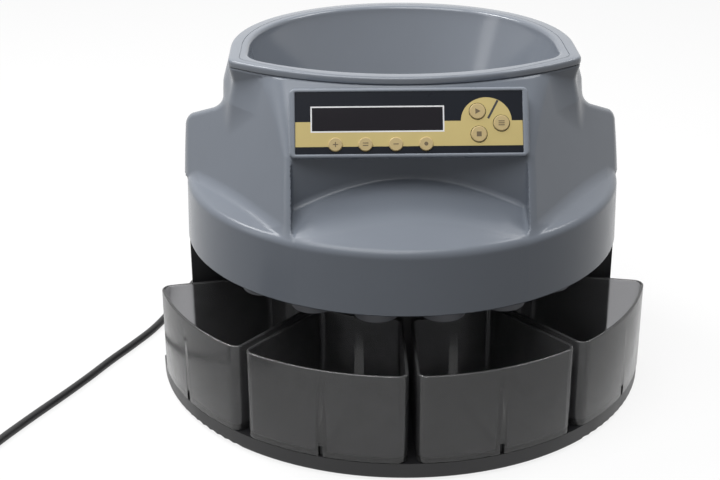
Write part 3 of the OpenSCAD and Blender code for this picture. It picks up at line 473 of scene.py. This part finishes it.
# Colour, roughness and direction of the brushing of each metal
METALS = {
    "steel": dict(colour=rgb(170, 172, 175), rough=0.38),
    "bright_steel": dict(colour=rgb(200, 200, 202), rough=0.22),
    "motor_case": dict(colour=rgb(120, 122, 126), rough=0.42),
    "core_steel": dict(colour=rgb(96, 94, 92), rough=0.5, stretch=(1, 1, 12)),
    "pin_metal": dict(colour=rgb(206, 204, 196), rough=0.24, stretch=(1, 12, 1)),
}
LOOKS = {name: moulded(name, **look) for name, look in PLASTICS.items()}
LOOKS |= {name: metal(name, **look) for name, look in METALS.items()}
LOOKS["cup_smoke"] = smoke_plastic()


def dress_nodes():
    """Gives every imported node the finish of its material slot."""
    for entry in frame["record"]["subparts"]:
        slots = nodes[entry["node"]].data.materials
        slots.clear()
        slots.append(LOOKS[entry["material_slot"]])


# Meshes
SHARP_ANGLE = 40
CUP_SHARP_ANGLE = 50


def add_piece(name, points, faces, material, matrix=AXIS, body="frame", sharp=None):
    """A mesh piece from points in millimetres, riding on a body, with edges over an angle left sharp."""
    mesh = bpy.data.meshes.new(name)
    mesh.from_pydata([tuple(p) for p in np.asarray(points) * MM], [], [tuple(f) for f in faces])
    mesh.transform(matrix)
    mesh.validate()
    mesh.materials.append(material)
    mesh.shade_smooth()
    if sharp:
        mesh.set_sharp_from_angle(angle=math.radians(sharp))
    piece = place(name, mesh)
    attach(piece, body)
    return piece


def ring_faces(rings, sides, closed):
    """Quads between rings of points, one ring after the next."""
    faces = []
    for i in range(rings if closed else rings - 1):
        a, b = i * sides, (i + 1) % rings * sides
        for j in range(sides):
            k = (j + 1) % sides
            faces.append((a + j, a + k, b + k, b + j))
    return faces


# Housing: a field of distances, negative inside, and a skin laid over its zero level
SKIN_STEP = 1.4
SKIN_WALL = 4.6
SKIN_MARGIN = 4
SKIN_PASSES = 3
SLOPE_STEP = 0.05
LEAST_SLOPE = 1e-6
LEAST_SQUARE = 0.01
LEAST_AHEAD = 0.1
FAR_OUT = 1000


def round_max(a, b, r):
    """Where both fields hold, with the edge rounded to radius r."""
    return np.minimum(-r, np.maximum(a, b)) + np.hypot(np.maximum(r + a, 0), np.maximum(r + b, 0))


def round_min(a, b, r):
    """Where either field holds, with a fillet of radius r."""
    return -round_max(-a, -b, r)


def soft_min(a, b, k):
    """The lesser of two values, blended where they are within k of each other."""
    return np.minimum(a, b) - np.maximum(k - np.abs(a - b), 0) ** 2 / (4 * k)


def sag(x, bend):
    """How far an arc of that curvature falls back at x."""
    return bend * x * x / (1 + np.sqrt(np.maximum(1 - (bend * x) ** 2, LEAST_SQUARE)))


def tower_side(x, y, z):
    """Round wall of the tower: narrower at its top, and flaring down to the ledge at the rear."""
    radius = np.hypot(x, y)
    flare = -soft_min(-TOWER_R, FLARE_SLOPE * (z - LEDGE_Z) - tower_foot_r, FLARE_EASE)
    flare = np.minimum(tower_foot_r, flare)
    rear = eased((y / np.maximum(radius, 1) - FLARE_FROM) / (FLARE_FULL - FLARE_FROM))
    wall_r = TOWER_R - TOWER_DRAFT * np.maximum(z - TOWER_DRAFT_Z, 0)
    return (radius - wall_r - rear * (flare - TOWER_R)) / np.hypot(1, FLARE_SLOPE * rear)


def ledge_form(x, y, z):
    """Drum up to the ledge: a rounded edge, and a top that rises towards the axis, more so at the tray."""
    radius = np.hypot(x, y)
    tray = (1 - eased((np.abs(x) - TRAY_HALF_W) / TRAY_FADE)) * (y < 0)
    lean = np.arctan(LEDGE_RISE + (TRAY_RISE - LEDGE_RISE) * tray)
    crest_r = drum_edge_r - LEDGE_ROUND + LEDGE_ROUND * np.sin(lean)
    crest_z = LEDGE_Z - LEDGE_ROUND + LEDGE_ROUND * np.cos(lean)
    wall_r = np.interp(z, [RIM_Z, LEDGE_Z - LEDGE_ROUND], [DRUM_R, drum_edge_r])
    top = (z - crest_z) * np.cos(lean) - (crest_r - radius) * np.sin(lean)
    return round_max(radius - wall_r, top, LEDGE_ROUND)


def front_form(x, y, z):
    """Sloping front, bent at its top to the curve of the lip."""
    bend = np.clip((z - PANEL_Z) / (TOWER_Z - PANEL_Z), 0, 1) / LIP_FRONT_R
    front_y = PANEL_Y - (z - PANEL_Z) * math.tan(PANEL_LEAN) - sag(x, bend)
    return (-y - front_y) * math.cos(PANEL_LEAN)


def cheek_reach(x, y):
    """How far out from the axis a place is, square to the cheek on its side."""
    return np.abs(x) * math.sin(CHEEK_ANGLE) - y * math.cos(CHEEK_ANGLE)


def cheek_form(x, y, z):
    """Flat cheeks each side of the front, leaning in from the ledge."""
    out = cheek_reach(x, y) - CHEEK_FOOT_R
    return (out + CHEEK_SLOPE * (z - LEDGE_Z)) / math.hypot(1, CHEEK_SLOPE)


def cove_form(x, y, z):
    """Cove that spreads up to the lip where the cheeks fall short of it."""
    reach = lip_reach(np.arctan2(x, -y)) - COVE_SLOPE * (TOWER_Z - z)
    return (np.hypot(x, y) - reach) / math.hypot(1, COVE_SLOPE)


def shoulder_form(x, y, z):
    """Wings each side of the tower, about as wide as the drum, under roofs that fall to the rear."""
    out = cheek_reach(x, y) - TOWER_R
    along = np.abs(x) * math.cos(CHEEK_ANGLE) + y * math.sin(CHEEK_ANGLE)
    edge = math.sqrt(drum_top_r**2 - TOWER_R**2)
    roof_z = SHOULDER_Z + SHOULDER_RISE * (edge - along) + SHOULDER_FALL * out
    roof = (z - roof_z) / math.hypot(1, SHOULDER_RISE, SHOULDER_FALL)
    return round_max(np.hypot(x, y) - SHOULDER_R, roof, ROOF_ROUND)


def recess_form(x, y, z):
    """Hollow under the panel, with a curved rear wall."""
    hollow = np.hypot(x, y - (RECESS_DEPTH - PANEL_Y - RECESS_R)) - RECESS_R
    return np.maximum(round_max(hollow, np.abs(x) - RECESS_HALF_W, RECESS_ROUND), z - PANEL_Z)


def outer_form(x, y, z):
    """Distance to the housing's outer skin."""
    body = round_min(tower_side(x, y, z), shoulder_form(x, y, z), VALLEY_ROUND)
    faces = round_max(front_form(x, y, z), cheek_form(x, y, z), RIDGE_ROUND)
    upper = round_max(body, faces, EDGE_ROUND)
    cove_round = np.clip(COVE_SHARE * (TOWER_Z - z), LEAST_ROUND, COVE_ROUND)
    upper = round_min(upper, cove_form(x, y, z), cove_round)
    upper = np.maximum(upper, LEDGE_Z - LEDGE_ROUND - z)
    ledge = ledge_form(x, y, z)
    foot_round = np.clip(FOOT_SHARE * (drum_edge_r - np.hypot(x, y)), LEAST_ROUND, FOOT_ROUND)
    whole = round_min(upper, ledge, foot_round)
    hollow = round_max(recess_form(x, y, z), -ledge, TRAY_ROUND)
    whole = round_max(whole, -hollow, SHARP_ROUND)
    return round_max(whole, z - TOWER_Z + lip_fall(y), TOP_ROUND)


def housing_field(x, y, z):
    """Distance to the housing: a shell, open below, at the mouth and behind the panel."""
    outer = outer_form(x, y, z)
    shell = np.maximum(outer, -(outer + SKIN_WALL))
    shell = round_max(shell, RIM_Z - z, RIM_ROUND)
    hole_r = mouth_reach(np.arctan2(x, -y)) + FUNNEL_WALL + HOLE_GAP
    mouth = np.maximum(np.hypot(x, y) - hole_r, TOWER_Z - 2 * WALL - z)
    v = (y + PANEL_Y) * math.sin(PANEL_LEAN) + (z - PANEL_Z) * math.cos(PANEL_LEAN)
    panel = np.maximum(np.abs(x) - BEZEL_W / 2, np.abs(v - BEZEL_H / 2) - BEZEL_H / 2) + BEZEL_OVERLAP
    panel = np.maximum(panel, PANEL_Z + WALL / 2 - z)
    panel = np.maximum(panel, y)
    return np.maximum(np.maximum(shell, -mouth), -panel)


def arc_reach(angle, y, radius):
    """Distance from the axis of an arc of that radius in front of it at y."""
    c = radius - y
    ahead = np.maximum(np.cos(angle), LEAST_AHEAD)
    reach = np.sqrt(np.maximum((c * ahead) ** 2 - c * c + radius * radius, 0)) - c * ahead
    return np.where(np.cos(angle) < LEAST_AHEAD, FAR_OUT, reach)


def side_reach(angle, half_w, rear_r):
    """Distance from the axis of flat sides that turn into a round rear."""
    turn = np.abs(angle)
    side = half_w / np.maximum(np.sin(np.minimum(turn, math.pi / 2)), LEAST_AHEAD)
    return side + (rear_r - half_w) * eased((turn - REAR_FROM) / (math.pi - REAR_FROM))


def lip_reach(angle):
    """Distance from the axis of the lip's edge."""
    side = side_reach(angle, LIP_HALF_W, LIP_R)
    return soft_min(side, arc_reach(angle, LIP_FRONT_Y, LIP_FRONT_R), LIP_CORNER_EASE)


def mouth_reach(angle):
    """Distance from the axis of the funnel's mouth."""
    side = side_reach(angle, MOUTH_HALF_W, MOUTH_R)
    return soft_min(side, arc_reach(angle, MOUTH_FRONT_Y, MOUTH_FRONT_R), MOUTH_CORNER_EASE)


def lip_fall(y):
    """How far the lip falls towards the rear."""
    return LIP_FALL * (np.maximum(y, 0) / LIP_R) ** 2


def skin(field, low, high, step):
    """Points and quads on the zero level of a field, one point in each cell that it passes through."""
    axes = [np.arange(a, b + step, step) for a, b in zip(low, high)]
    values = field(*np.meshgrid(*axes, indexing="ij"))
    inside = values < 0
    n = np.array(values.shape)

    def at_corner(grid, shift):
        return grid[tuple(slice(s, m - 1 + s) for s, m in zip(shift, n))]

    corners = [(i, j, k) for i in (0, 1) for j in (0, 1) for k in (0, 1)]
    held = sum(at_corner(inside, c).astype(int) for c in corners)
    cells = np.argwhere((held > 0) & (held < len(corners)))
    number = np.full(n - 1, -1)
    number[tuple(cells.T)] = np.arange(len(cells))

    total = np.zeros((len(cells), 3))
    hits = np.zeros(len(cells))
    for axis in range(3):
        ahead = np.eye(3, dtype=int)[axis]
        for corner in corners:
            if corner[axis]:
                continue
            start = cells + corner
            a = values[tuple(start.T)]
            b = values[tuple((start + ahead).T)]
            crossed = (a < 0) != (b < 0)
            share = a[crossed] / (a[crossed] - b[crossed])
            total[crossed] += start[crossed] + share[:, None] * ahead
            hits[crossed] += 1
    points = np.array(low) + step * total / hits[:, None]

    faces = []
    for axis in range(3):
        u, v = np.eye(3, dtype=int)[(axis + 1) % 3], np.eye(3, dtype=int)[(axis + 2) % 3]
        first = inside[tuple(slice(0, m - (i == axis)) for i, m in enumerate(n))]
        last = inside[tuple(slice(int(i == axis), m) for i, m in enumerate(n))]
        for sign in (1, -1):
            edges = np.argwhere((first & ~last) if sign > 0 else (last & ~first))
            ring = [edges - u - v, edges - v, edges, edges - u][::sign]
            faces.append(np.stack([number[tuple(r.T)] for r in ring], 1))
    return points, np.concatenate(faces)


def slope(field, points):
    """Direction in which the field grows."""
    columns = []
    for axis in range(3):
        ahead = np.eye(3)[axis] * SLOPE_STEP
        columns.append(field(*(points + ahead).T) - field(*(points - ahead).T))
    grown = np.stack(columns, 1) / (2 * SLOPE_STEP)
    return grown / np.maximum(np.linalg.norm(grown, axis=1), LEAST_SLOPE)[:, None]


def add_housing():
    """The grey housing, its points drawn onto the field's zero level."""
    reach = DRUM_R + SKIN_MARGIN
    low = (-reach, -reach, RIM_Z - SKIN_MARGIN)
    high = (reach, reach, TOWER_Z + SKIN_MARGIN)
    points, faces = skin(housing_field, low, high, SKIN_STEP)
    for _ in range(SKIN_PASSES):
        move = np.clip(housing_field(*points.T), -SKIN_STEP / 2, SKIN_STEP / 2)
        points -= slope(housing_field, points) * move[:, None]
    piece = add_piece("housing_shell", points, faces, LOOKS["housing_grey"])
    piece.data.normals_split_custom_set_from_vertices(slope(housing_field, points))
    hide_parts("upper_housing")


# Hopper
HOPPER_SIDES = 288
FUNNEL_STEPS = 24
LIP_LOW_STEPS = 3
LIP_TOP_STEPS = 4
MOUTH_STEPS = 6
# The seam on the lip moves in between two turns from the front, in radians
SEAM_FROM = 0.5
SEAM_TURN = 0.8
SEAM_IN = 8
SEAM_W = 0.5
SEAM_DEPTH = 0.5


def round_edge(count, start, end):
    """Cosine and sine along an arc, for the rounding of an edge."""
    for k in range(count + 1):
        angle = math.radians(start + (end - start) * k / count)
        yield math.cos(angle), math.sin(angle)


def add_hopper():
    """The hopper, as rings from under its lip, over the lip and down the funnel, and back up outside."""
    angle = np.linspace(0, math.tau, HOPPER_SIDES, endpoint=False)
    turned = np.where(angle > math.pi, angle - math.tau, angle)
    lip = lip_reach(turned)
    mouth = mouth_reach(turned)
    rings = []

    def ring(reach, z):
        y = -reach * np.cos(turned)
        share = (z - FUNNEL_END_Z) / (lip_z - FUNNEL_END_Z)
        rings.append(np.stack([reach * np.sin(turned), y, z - share * lip_fall(y)], 1))

    def funnel_ring(s, wall):
        start_z = lip_z - MOUTH_EDGE
        ring(mouth + (FUNNEL_END_R - mouth) * s**FUNNEL_BEND + wall, start_z + (FUNNEL_END_Z - start_z) * s)

    low_edge = LIP_EDGE / 2
    for c, s in round_edge(LIP_LOW_STEPS, -90, 0):
        ring(lip - low_edge * (1 - c), TOWER_Z + low_edge * (1 + s))
    for c, s in round_edge(LIP_TOP_STEPS, 0, 90):
        ring(lip - LIP_EDGE * (1 - c), lip_z - LIP_EDGE * (1 - s))
    seam_low = LIP_EDGE + SEAM_W
    seam = lip - seam_low - (SEAM_IN - seam_low) * eased((np.abs(turned) - SEAM_FROM) / SEAM_TURN)
    ring(seam + SEAM_W / 2, lip_z)
    ring(seam + SEAM_W / 4, lip_z - SEAM_DEPTH)
    ring(seam - SEAM_W / 4, lip_z - SEAM_DEPTH)
    ring(seam - SEAM_W / 2, lip_z)
    for c, s in round_edge(MOUTH_STEPS, 90, 180):
        ring(mouth + MOUTH_EDGE * (1 + c), lip_z - MOUTH_EDGE * (1 - s))
    for i in range(1, FUNNEL_STEPS + 1):
        funnel_ring(i / FUNNEL_STEPS, 0)
    for i in range(FUNNEL_STEPS, 0, -1):
        funnel_ring(i / FUNNEL_STEPS, FUNNEL_WALL)
    ring(mouth + FUNNEL_WALL, TOWER_Z)
    piece = add_piece(
        "hopper_bowl", np.concatenate(rings), ring_faces(len(rings), HOPPER_SIDES, True),
        LOOKS["hopper_grey"], sharp=SHARP_ANGLE,
    )
    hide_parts("hopper_funnel")


# Cups
CUP_ARC_STEPS = 24
CUP_ROUND_STEPS = 8
CUP_FOOT_STEPS = 3
CUP_RIM_STEPS = 6
CUP_FLOOR_STEPS = 4


def cup_outline(inset):
    """Outline of a cup that lies along +X, with its walls moved in."""
    half = math.radians(CUP_PITCH / 2)
    reach = CUP_R - inset
    near = CUP_INNER_R + inset
    corner = max(CUP_CORNER_R - inset, CUP_LEAST_ROUND)
    inner = CUP_INNER_ROUND + inset - CUP_WALL
    side = CUP_GAP / 2 + inset
    outer_turn = half - math.asin((side + corner) / (reach - corner))
    inner_turn = half - math.asin((side + inner) / (near + inner))

    def arc(at, r, start, end, steps):
        angles = [start + (end - start) * k / steps for k in range(steps + 1)]
        return [(at[0] + r * math.cos(a), at[1] + r * math.sin(a)) for a in angles]

    def polar(r, angle):
        return r * math.cos(angle), r * math.sin(angle)

    quarter = math.pi / 2
    upper = [
        *arc((0, 0), reach, 0, outer_turn, CUP_ARC_STEPS)[1:-1],
        *arc(polar(reach - corner, outer_turn), corner, outer_turn, half + quarter, CUP_ROUND_STEPS),
        *arc(polar(near + inner, inner_turn), inner, half + quarter, inner_turn + math.pi, CUP_ROUND_STEPS),
        *arc((0, 0), near, inner_turn, 0, CUP_ARC_STEPS)[1:-1],
    ]
    return [(reach, 0), *upper, (near, 0), *((x, -y) for x, y in reversed(upper))]


def cut(piece, other, how):
    """Joins a piece with another, or cuts the other away from it, for good."""
    change = piece.modifiers.new("cut", "BOOLEAN")
    change.operation = how
    change.solver = "EXACT"
    change.object = other
    made = bpy.data.meshes.new_from_object(piece.evaluated_get(bpy.context.evaluated_depsgraph_get()))
    piece.modifiers.clear()
    piece.data = made
    bpy.data.objects.remove(other)


def add_box(low, high, matrix):
    """A box between two corners, to join to a piece or cut from it."""
    across, along, up = zip(low, high)
    points = [(x, y, z) for z in up for y in along for x in across]
    faces = [(0, 2, 3, 1), (4, 5, 7, 6), (0, 1, 5, 4), (2, 6, 7, 3), (0, 4, 6, 2), (1, 3, 7, 5)]
    mesh = bpy.data.meshes.new("box")
    mesh.from_pydata([Vector(p) * MM for p in points], [], faces)
    mesh.transform(matrix)
    return place("box", mesh)


def add_cup(i):
    """One coin cup, with the tunnel in its floor that runs on the guide rail."""
    rings = []

    def ring(inset, z):
        rings.append([(x, y, z) for x, y in cup_outline(inset)])

    for c, s in round_edge(CUP_FOOT_STEPS, -90, 0):
        ring(CUP_EDGE * (1 - c), CUP_LOW_Z + CUP_EDGE * (1 + s))
    rim = CUP_WALL / 2
    for c, s in round_edge(CUP_RIM_STEPS, 0, 180):
        ring(rim * (1 - c), CUP_TOP_Z - rim * (1 - s))
    floor_z = CUP_LOW_Z + CUP_WALL
    for c, s in round_edge(CUP_FLOOR_STEPS, 180, 270):
        ring(CUP_WALL + CUP_FLOOR_ROUND * (1 + c), floor_z + CUP_FLOOR_ROUND * (1 + s))
    sides = len(rings[0])
    last = (len(rings) - 1) * sides
    faces = ring_faces(len(rings), sides, False)
    faces.append(tuple(range(sides))[::-1])
    faces.append(tuple(range(last, last + sides)))
    turn = math.radians((i - (CUP_COUNT - 1) / 2) * CUP_PITCH - 90)
    matrix = AXIS @ Matrix.Rotation(turn, 4, "Z")
    name = f"cup_{i + 1}"
    piece = add_piece(
        name + "_shell", np.concatenate(rings), faces, LOOKS["cup_smoke"], matrix,
        body=name, sharp=CUP_SHARP_ANGLE,
    )
    cover = TUNNEL_W / 2 + CUP_WALL
    top_z = CUP_LOW_Z + TUNNEL_H
    near, far = CUP_INNER_R + CUP_WALL / 2, CUP_R - CUP_WALL / 2
    hood = add_box((near, -cover, floor_z - TUNNEL_BITE), (far, cover, top_z + CUP_WALL), matrix)
    cut(piece, hood, "UNION")
    tunnel = add_box((0, -TUNNEL_W / 2, 0), (2 * CUP_R, TUNNEL_W / 2, top_z), matrix)
    cut(piece, tunnel, "DIFFERENCE")
    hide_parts(f"coin_{name}")


# Panel
PANEL = (
    AXIS
    @ Matrix.Translation(Vector((0, -PANEL_Y, PANEL_Z)) * MM)
    @ Matrix.Rotation(math.pi / 2 - PANEL_LEAN, 4, "X")
)
CORNER_STEPS = 8
BEZEL_EDGE_STEPS = 5
BEZEL_INNER_STEPS = 4


def rounded_outline(w, h, r):
    """Rounded rectangle, anticlockwise, round the origin."""
    points = []
    for x, y, start in ((1, 1, 0), (-1, 1, 90), (-1, -1, 180), (1, -1, 270)):
        for c, s in round_edge(CORNER_STEPS, start, start + 90):
            points.append((x * (w / 2 - r) + r * c, y * (h / 2 - r) + r * s))
    return points


def add_bezel():
    """The panel's frame, as rings from its skirt, over its face and into its window."""
    rings = []
    back = LABEL_FLOOR - BEZEL_BACK

    def outer(inset):
        r = max(BEZEL_ROUND - inset, BEZEL_LEAST_ROUND)
        outline = rounded_outline(BEZEL_W - 2 * inset, BEZEL_H - 2 * inset, r)
        return [(x, y + BEZEL_H / 2) for x, y in outline]

    def ring(inset, w):
        rings.extend((x, v, w) for x, v in outer(inset))

    def skirt(inset):
        """The skirt's rear edge: deepest at the upper corners, and gone at the foot, over the recess."""
        for x, v in outer(inset):
            depth = BEZEL_DEPTH + (BEZEL_CORNER_DEPTH - BEZEL_DEPTH) * (2 * x / BEZEL_W) ** 2
            rings.append((x, v, max(-depth, back - v / math.tan(PANEL_LEAN))))

    def inner(inset, w):
        outline = rounded_outline(
            BEZEL_W - 2 * BEZEL_SIDE + 2 * inset,
            BEZEL_H - 2 * BEZEL_STRIP + 2 * inset,
            BEZEL_LEAST_ROUND + inset,
        )
        rings.extend((x, y + BEZEL_H / 2, w) for x, y in outline)

    skirt(0)
    for c, s in round_edge(BEZEL_EDGE_STEPS, 0, 90):
        ring(BEZEL_EDGE * (1 - c), BEZEL_T - BEZEL_EDGE * (1 - s))
    for c, s in round_edge(BEZEL_INNER_STEPS, 90, 180):
        inner(BEZEL_INNER_EDGE * (1 + c), BEZEL_T - BEZEL_INNER_EDGE * (1 - s))
    inner(0, back)
    ring(BEZEL_WALL, back)
    skirt(BEZEL_WALL)
    sides = len(outer(0))
    piece = add_piece(
        "panel_frame", rings, ring_faces(len(rings) // sides, sides, True),
        LOOKS["bezel_grey"], PANEL, sharp=SHARP_ANGLE,
    )
    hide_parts("panel_bezel")


# Prints on the panel, in millimetres across it and up it
PRINT_T = 0.06
PRINT_GAP = 0.2
BAND_LOW_V = 7.4
BAND_HIGH_V = 23.8
DOME_U = 50.2
DOME_R = 16.5
DOME_SQUASH = 0.93
DOME_STEPS = 40
STROKE_TOP = (57.8, 37.1)
STROKE_FOOT = (51.4, 25.2)
STROKE_W = 1.4
LINE_W = 0.9
CIRCLE_STEPS = 48


def circle(u, v, r):
    """Outline of a disc round a middle."""
    turns = [math.tau * k / CIRCLE_STEPS for k in range(CIRCLE_STEPS)]
    return [(u + r * math.cos(turn), v + r * math.sin(turn)) for turn in turns]


def rectangle(u, v, w, h):
    """Outline of a rectangle round a middle."""
    return [(u - w / 2, v - h / 2), (u + w / 2, v - h / 2), (u + w / 2, v + h / 2), (u - w / 2, v + h / 2)]


def bar(start, end, width):
    """A straight stroke from one point to another."""
    a, b = Vector(start), Vector(end)
    across = (b - a).orthogonal().normalized() * width / 2
    return [tuple(a + across), tuple(a - across), tuple(b - across), tuple(b + across)]


def add_print(name, outlines, look, w, body="frame"):
    """A thin printed layer on the panel. An outline inside another is a hole."""
    data = bpy.data.curves.new(name, "CURVE")
    data.dimensions = "2D"
    data.fill_mode = "BOTH"
    data.extrude = PRINT_T / 2 * MM
    for outline in outlines:
        spline = data.splines.new("POLY")
        spline.points.add(len(outline) - 1)
        for point, (u, v) in zip(spline.points, outline):
            point.co = (u * MM, v * MM, 0, 1)
        spline.use_cyclic_u = True
    shape = bpy.data.objects.new(name + "_outline", data)
    mesh = bpy.data.meshes.new_from_object(shape)
    bpy.data.objects.remove(shape)
    mesh.name = name
    mesh.transform(PANEL @ Matrix.Translation((0, 0, (w + PRINT_T / 2) * MM)))
    mesh.materials.clear()
    mesh.materials.append(LOOKS[look])
    piece = place(name, mesh)
    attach(piece, body)


def add_label_print():
    """The label's gold band with its dome, the stroke on the dome and the pale line round the window."""
    left = -BEZEL_W / 2 + BEZEL_SIDE + PRINT_GAP
    right = -left
    pane_low = WINDOW_V - WINDOW_H / 2
    pane_left = WINDOW_X - WINDOW_W / 2
    pane_right = WINDOW_X + WINDOW_W / 2
    dome = [
        (DOME_U + DOME_R * c, BAND_HIGH_V + DOME_R * s * DOME_SQUASH)
        for c, s in round_edge(DOME_STEPS, 0, 180)
    ]
    band = [
        (left, BAND_LOW_V), (right, BAND_LOW_V), (right, BAND_HIGH_V), *dome,
        (pane_right, BAND_HIGH_V), (pane_right, pane_low), (pane_left, pane_low), (pane_left, BAND_HIGH_V),
        (left, BAND_HIGH_V),
    ]
    holes = [circle(u, v, r + BUTTON_CLEAR) for u, v, r in BUTTONS.values() if r == BUTTON_R]
    add_print("label_gold", [band, *holes], "print_gold", LABEL_FACE)
    stroke = bar(STROKE_TOP, STROKE_FOOT, STROKE_W)
    add_print("label_stroke", [stroke], "print_black", LABEL_FACE + PRINT_T)
    line = [
        rectangle(WINDOW_X, WINDOW_V, WINDOW_W, WINDOW_H),
        rectangle(WINDOW_X, WINDOW_V, WINDOW_W - 2 * LINE_W, WINDOW_H - 2 * LINE_W),
    ]
    add_print("label_line", line, "print_pale", LABEL_FACE)


ICON_W = 0.6
ICON_LIFT = PRINT_T / 4
# Strokes of each button's icon, from its middle, and closed shapes
ICON_STROKES = {
    "plus": [((-1.7, 0), (1.7, 0)), ((0, -1.7), (0, 1.7))],
    "minus": [((-1.7, 0), (1.7, 0))],
    "mode": [((-2, 1.3), (2, 1.3)), ((-2, 0), (2, 0)), ((-2, -1.3), (2, -1.3))],
    "total": [((-1.8, -0.8), (1.8, -0.8)), ((-1.8, 0.8), (1.8, 0.8))],
}
ICON_SHAPES = {
    "start": [(-1.4, -1.9), (2, 0), (-1.4, 1.9)],
    "batch": [(-1.6, -1.6), (1.6, -1.6), (1.6, 1.6), (-1.6, 1.6)],
    "set": circle(0, 0, 1.3),
}


def add_icons():
    """Plain icons on the buttons, each riding on its own button."""
    top = LABEL_FACE + BUTTON_RISE
    for name, (u, v, _) in BUTTONS.items():
        if name in ICON_SHAPES:
            parts = [ICON_SHAPES[name]]
        else:
            parts = [bar(start, end, ICON_W) for start, end in ICON_STROKES[name]]
        for k, part in enumerate(parts):
            outline = [(u + x, v + y) for x, y in part]
            add_print(f"icon_{name}_{k}", [outline], "print_ink", top + k * ICON_LIFT, body="key_" + name)


# Stage, with its lengths in metres
WORLD_LEVEL = 0.14
WHITE = (1, 1, 1, 1)
FLOOR_HALF = 6
FLOOR_DROP = 0.0002
FLOOR_PAPER = 0.9
FLOOR_BOUNCE = 0.15
FLOOR_GLOW = 0.85
LAMP_AIM = (0, 0, 0.12)
# Place, size and watts of each lamp
LAMPS = {
    "top_box": ((-0.3, -0.45, 1.5), (1.2, 1.1), 20),
    "left_box": ((-1.4, -0.2, 0.75), (0.3, 1), 2.2),
    "rear_left_box": ((-0.8, 0.45, 1.3), (0.5, 0.6), 12),
    "rear_right_box": ((0.85, 0.35, 1.35), (0.5, 0.6), 7),
}


def ray_fac(tree):
    """One for rays that show the background itself: seen, mirrored or through glass."""
    path = tree.nodes.new("ShaderNodeLightPath")
    total = path.outputs["Is Camera Ray"]
    for name in ("Is Glossy Ray", "Is Transmission Ray"):
        added = tree.nodes.new("ShaderNodeMath")
        added.operation = "MAXIMUM"
        tree.links.new(total, added.inputs[0])
        tree.links.new(path.outputs[name], added.inputs[1])
        total = added.outputs[0]
    return total


def add_world():
    """A dim sky for the light, which rays that show it see as white."""
    world = bpy.data.worlds.new("studio")
    bpy.context.scene.world = world
    world.use_nodes = True
    tree = world.node_tree
    tree.nodes.clear()
    out = tree.nodes.new("ShaderNodeOutputWorld")
    mix = tree.nodes.new("ShaderNodeMixShader")
    tree.links.new(ray_fac(tree), mix.inputs[0])
    for strength, socket in ((WORLD_LEVEL, 1), (1, 2)):
        sky = tree.nodes.new("ShaderNodeBackground")
        sky.inputs["Color"].default_value = WHITE
        sky.inputs["Strength"].default_value = strength
        tree.links.new(sky.outputs[0], mix.inputs[socket])
    tree.links.new(mix.outputs[0], out.inputs["Surface"])


def add_floor():
    """A white floor that keeps the shadow and gives little light back."""
    corners = [(x * FLOOR_HALF, y * FLOOR_HALF, 0) for x, y in ((-1, -1), (1, -1), (1, 1), (-1, 1))]
    mesh = bpy.data.meshes.new("floor")
    mesh.from_pydata(corners, [], [(0, 1, 2, 3)])
    floor = place("floor", mesh)
    floor.location.z = -FLOOR_DROP
    made = bpy.data.materials.new("floor_white")
    made.use_nodes = True
    tree = made.node_tree
    tree.nodes.clear()
    out = tree.nodes.new("ShaderNodeOutputMaterial")
    paper, dim = (tree.nodes.new("ShaderNodeBsdfDiffuse") for _ in range(2))
    paper.inputs["Color"].default_value = scaled(WHITE, FLOOR_PAPER)
    dim.inputs["Color"].default_value = scaled(WHITE, FLOOR_BOUNCE)
    glow = tree.nodes.new("ShaderNodeEmission")
    seen, mix = (tree.nodes.new("ShaderNodeMixShader") for _ in range(2))
    seen.inputs[0].default_value = FLOOR_GLOW
    tree.links.new(paper.outputs[0], seen.inputs[1])
    tree.links.new(glow.outputs[0], seen.inputs[2])
    tree.links.new(ray_fac(tree), mix.inputs[0])
    tree.links.new(dim.outputs[0], mix.inputs[1])
    tree.links.new(seen.outputs[0], mix.inputs[2])
    tree.links.new(mix.outputs[0], out.inputs["Surface"])
    mesh.materials.append(made)


def add_lamp(name, at, size, watts):
    """A soft box that points at the machine."""
    data = bpy.data.lights.new(name, "AREA")
    data.shape = "RECTANGLE"
    data.size, data.size_y = size
    data.energy = watts
    lamp = place(name, data)
    lamp.location = at
    lamp.rotation_euler = (Vector(LAMP_AIM) - Vector(at)).to_track_quat("-Z", "Y").to_euler()


def add_stage():
    """World, floor and lamps."""
    add_world()
    add_floor()
    for name, (at, size, watts) in LAMPS.items():
        add_lamp(name, at, size, watts)
    bpy.context.scene.view_settings.view_transform = "Standard"


add_camera()
add_cord(LOOKS["cord_black"])
dress_nodes()
add_housing()
add_hopper()
for i in range(CUP_COUNT):
    add_cup(i)
add_bezel()
add_label_print()
add_icons()
add_stage()
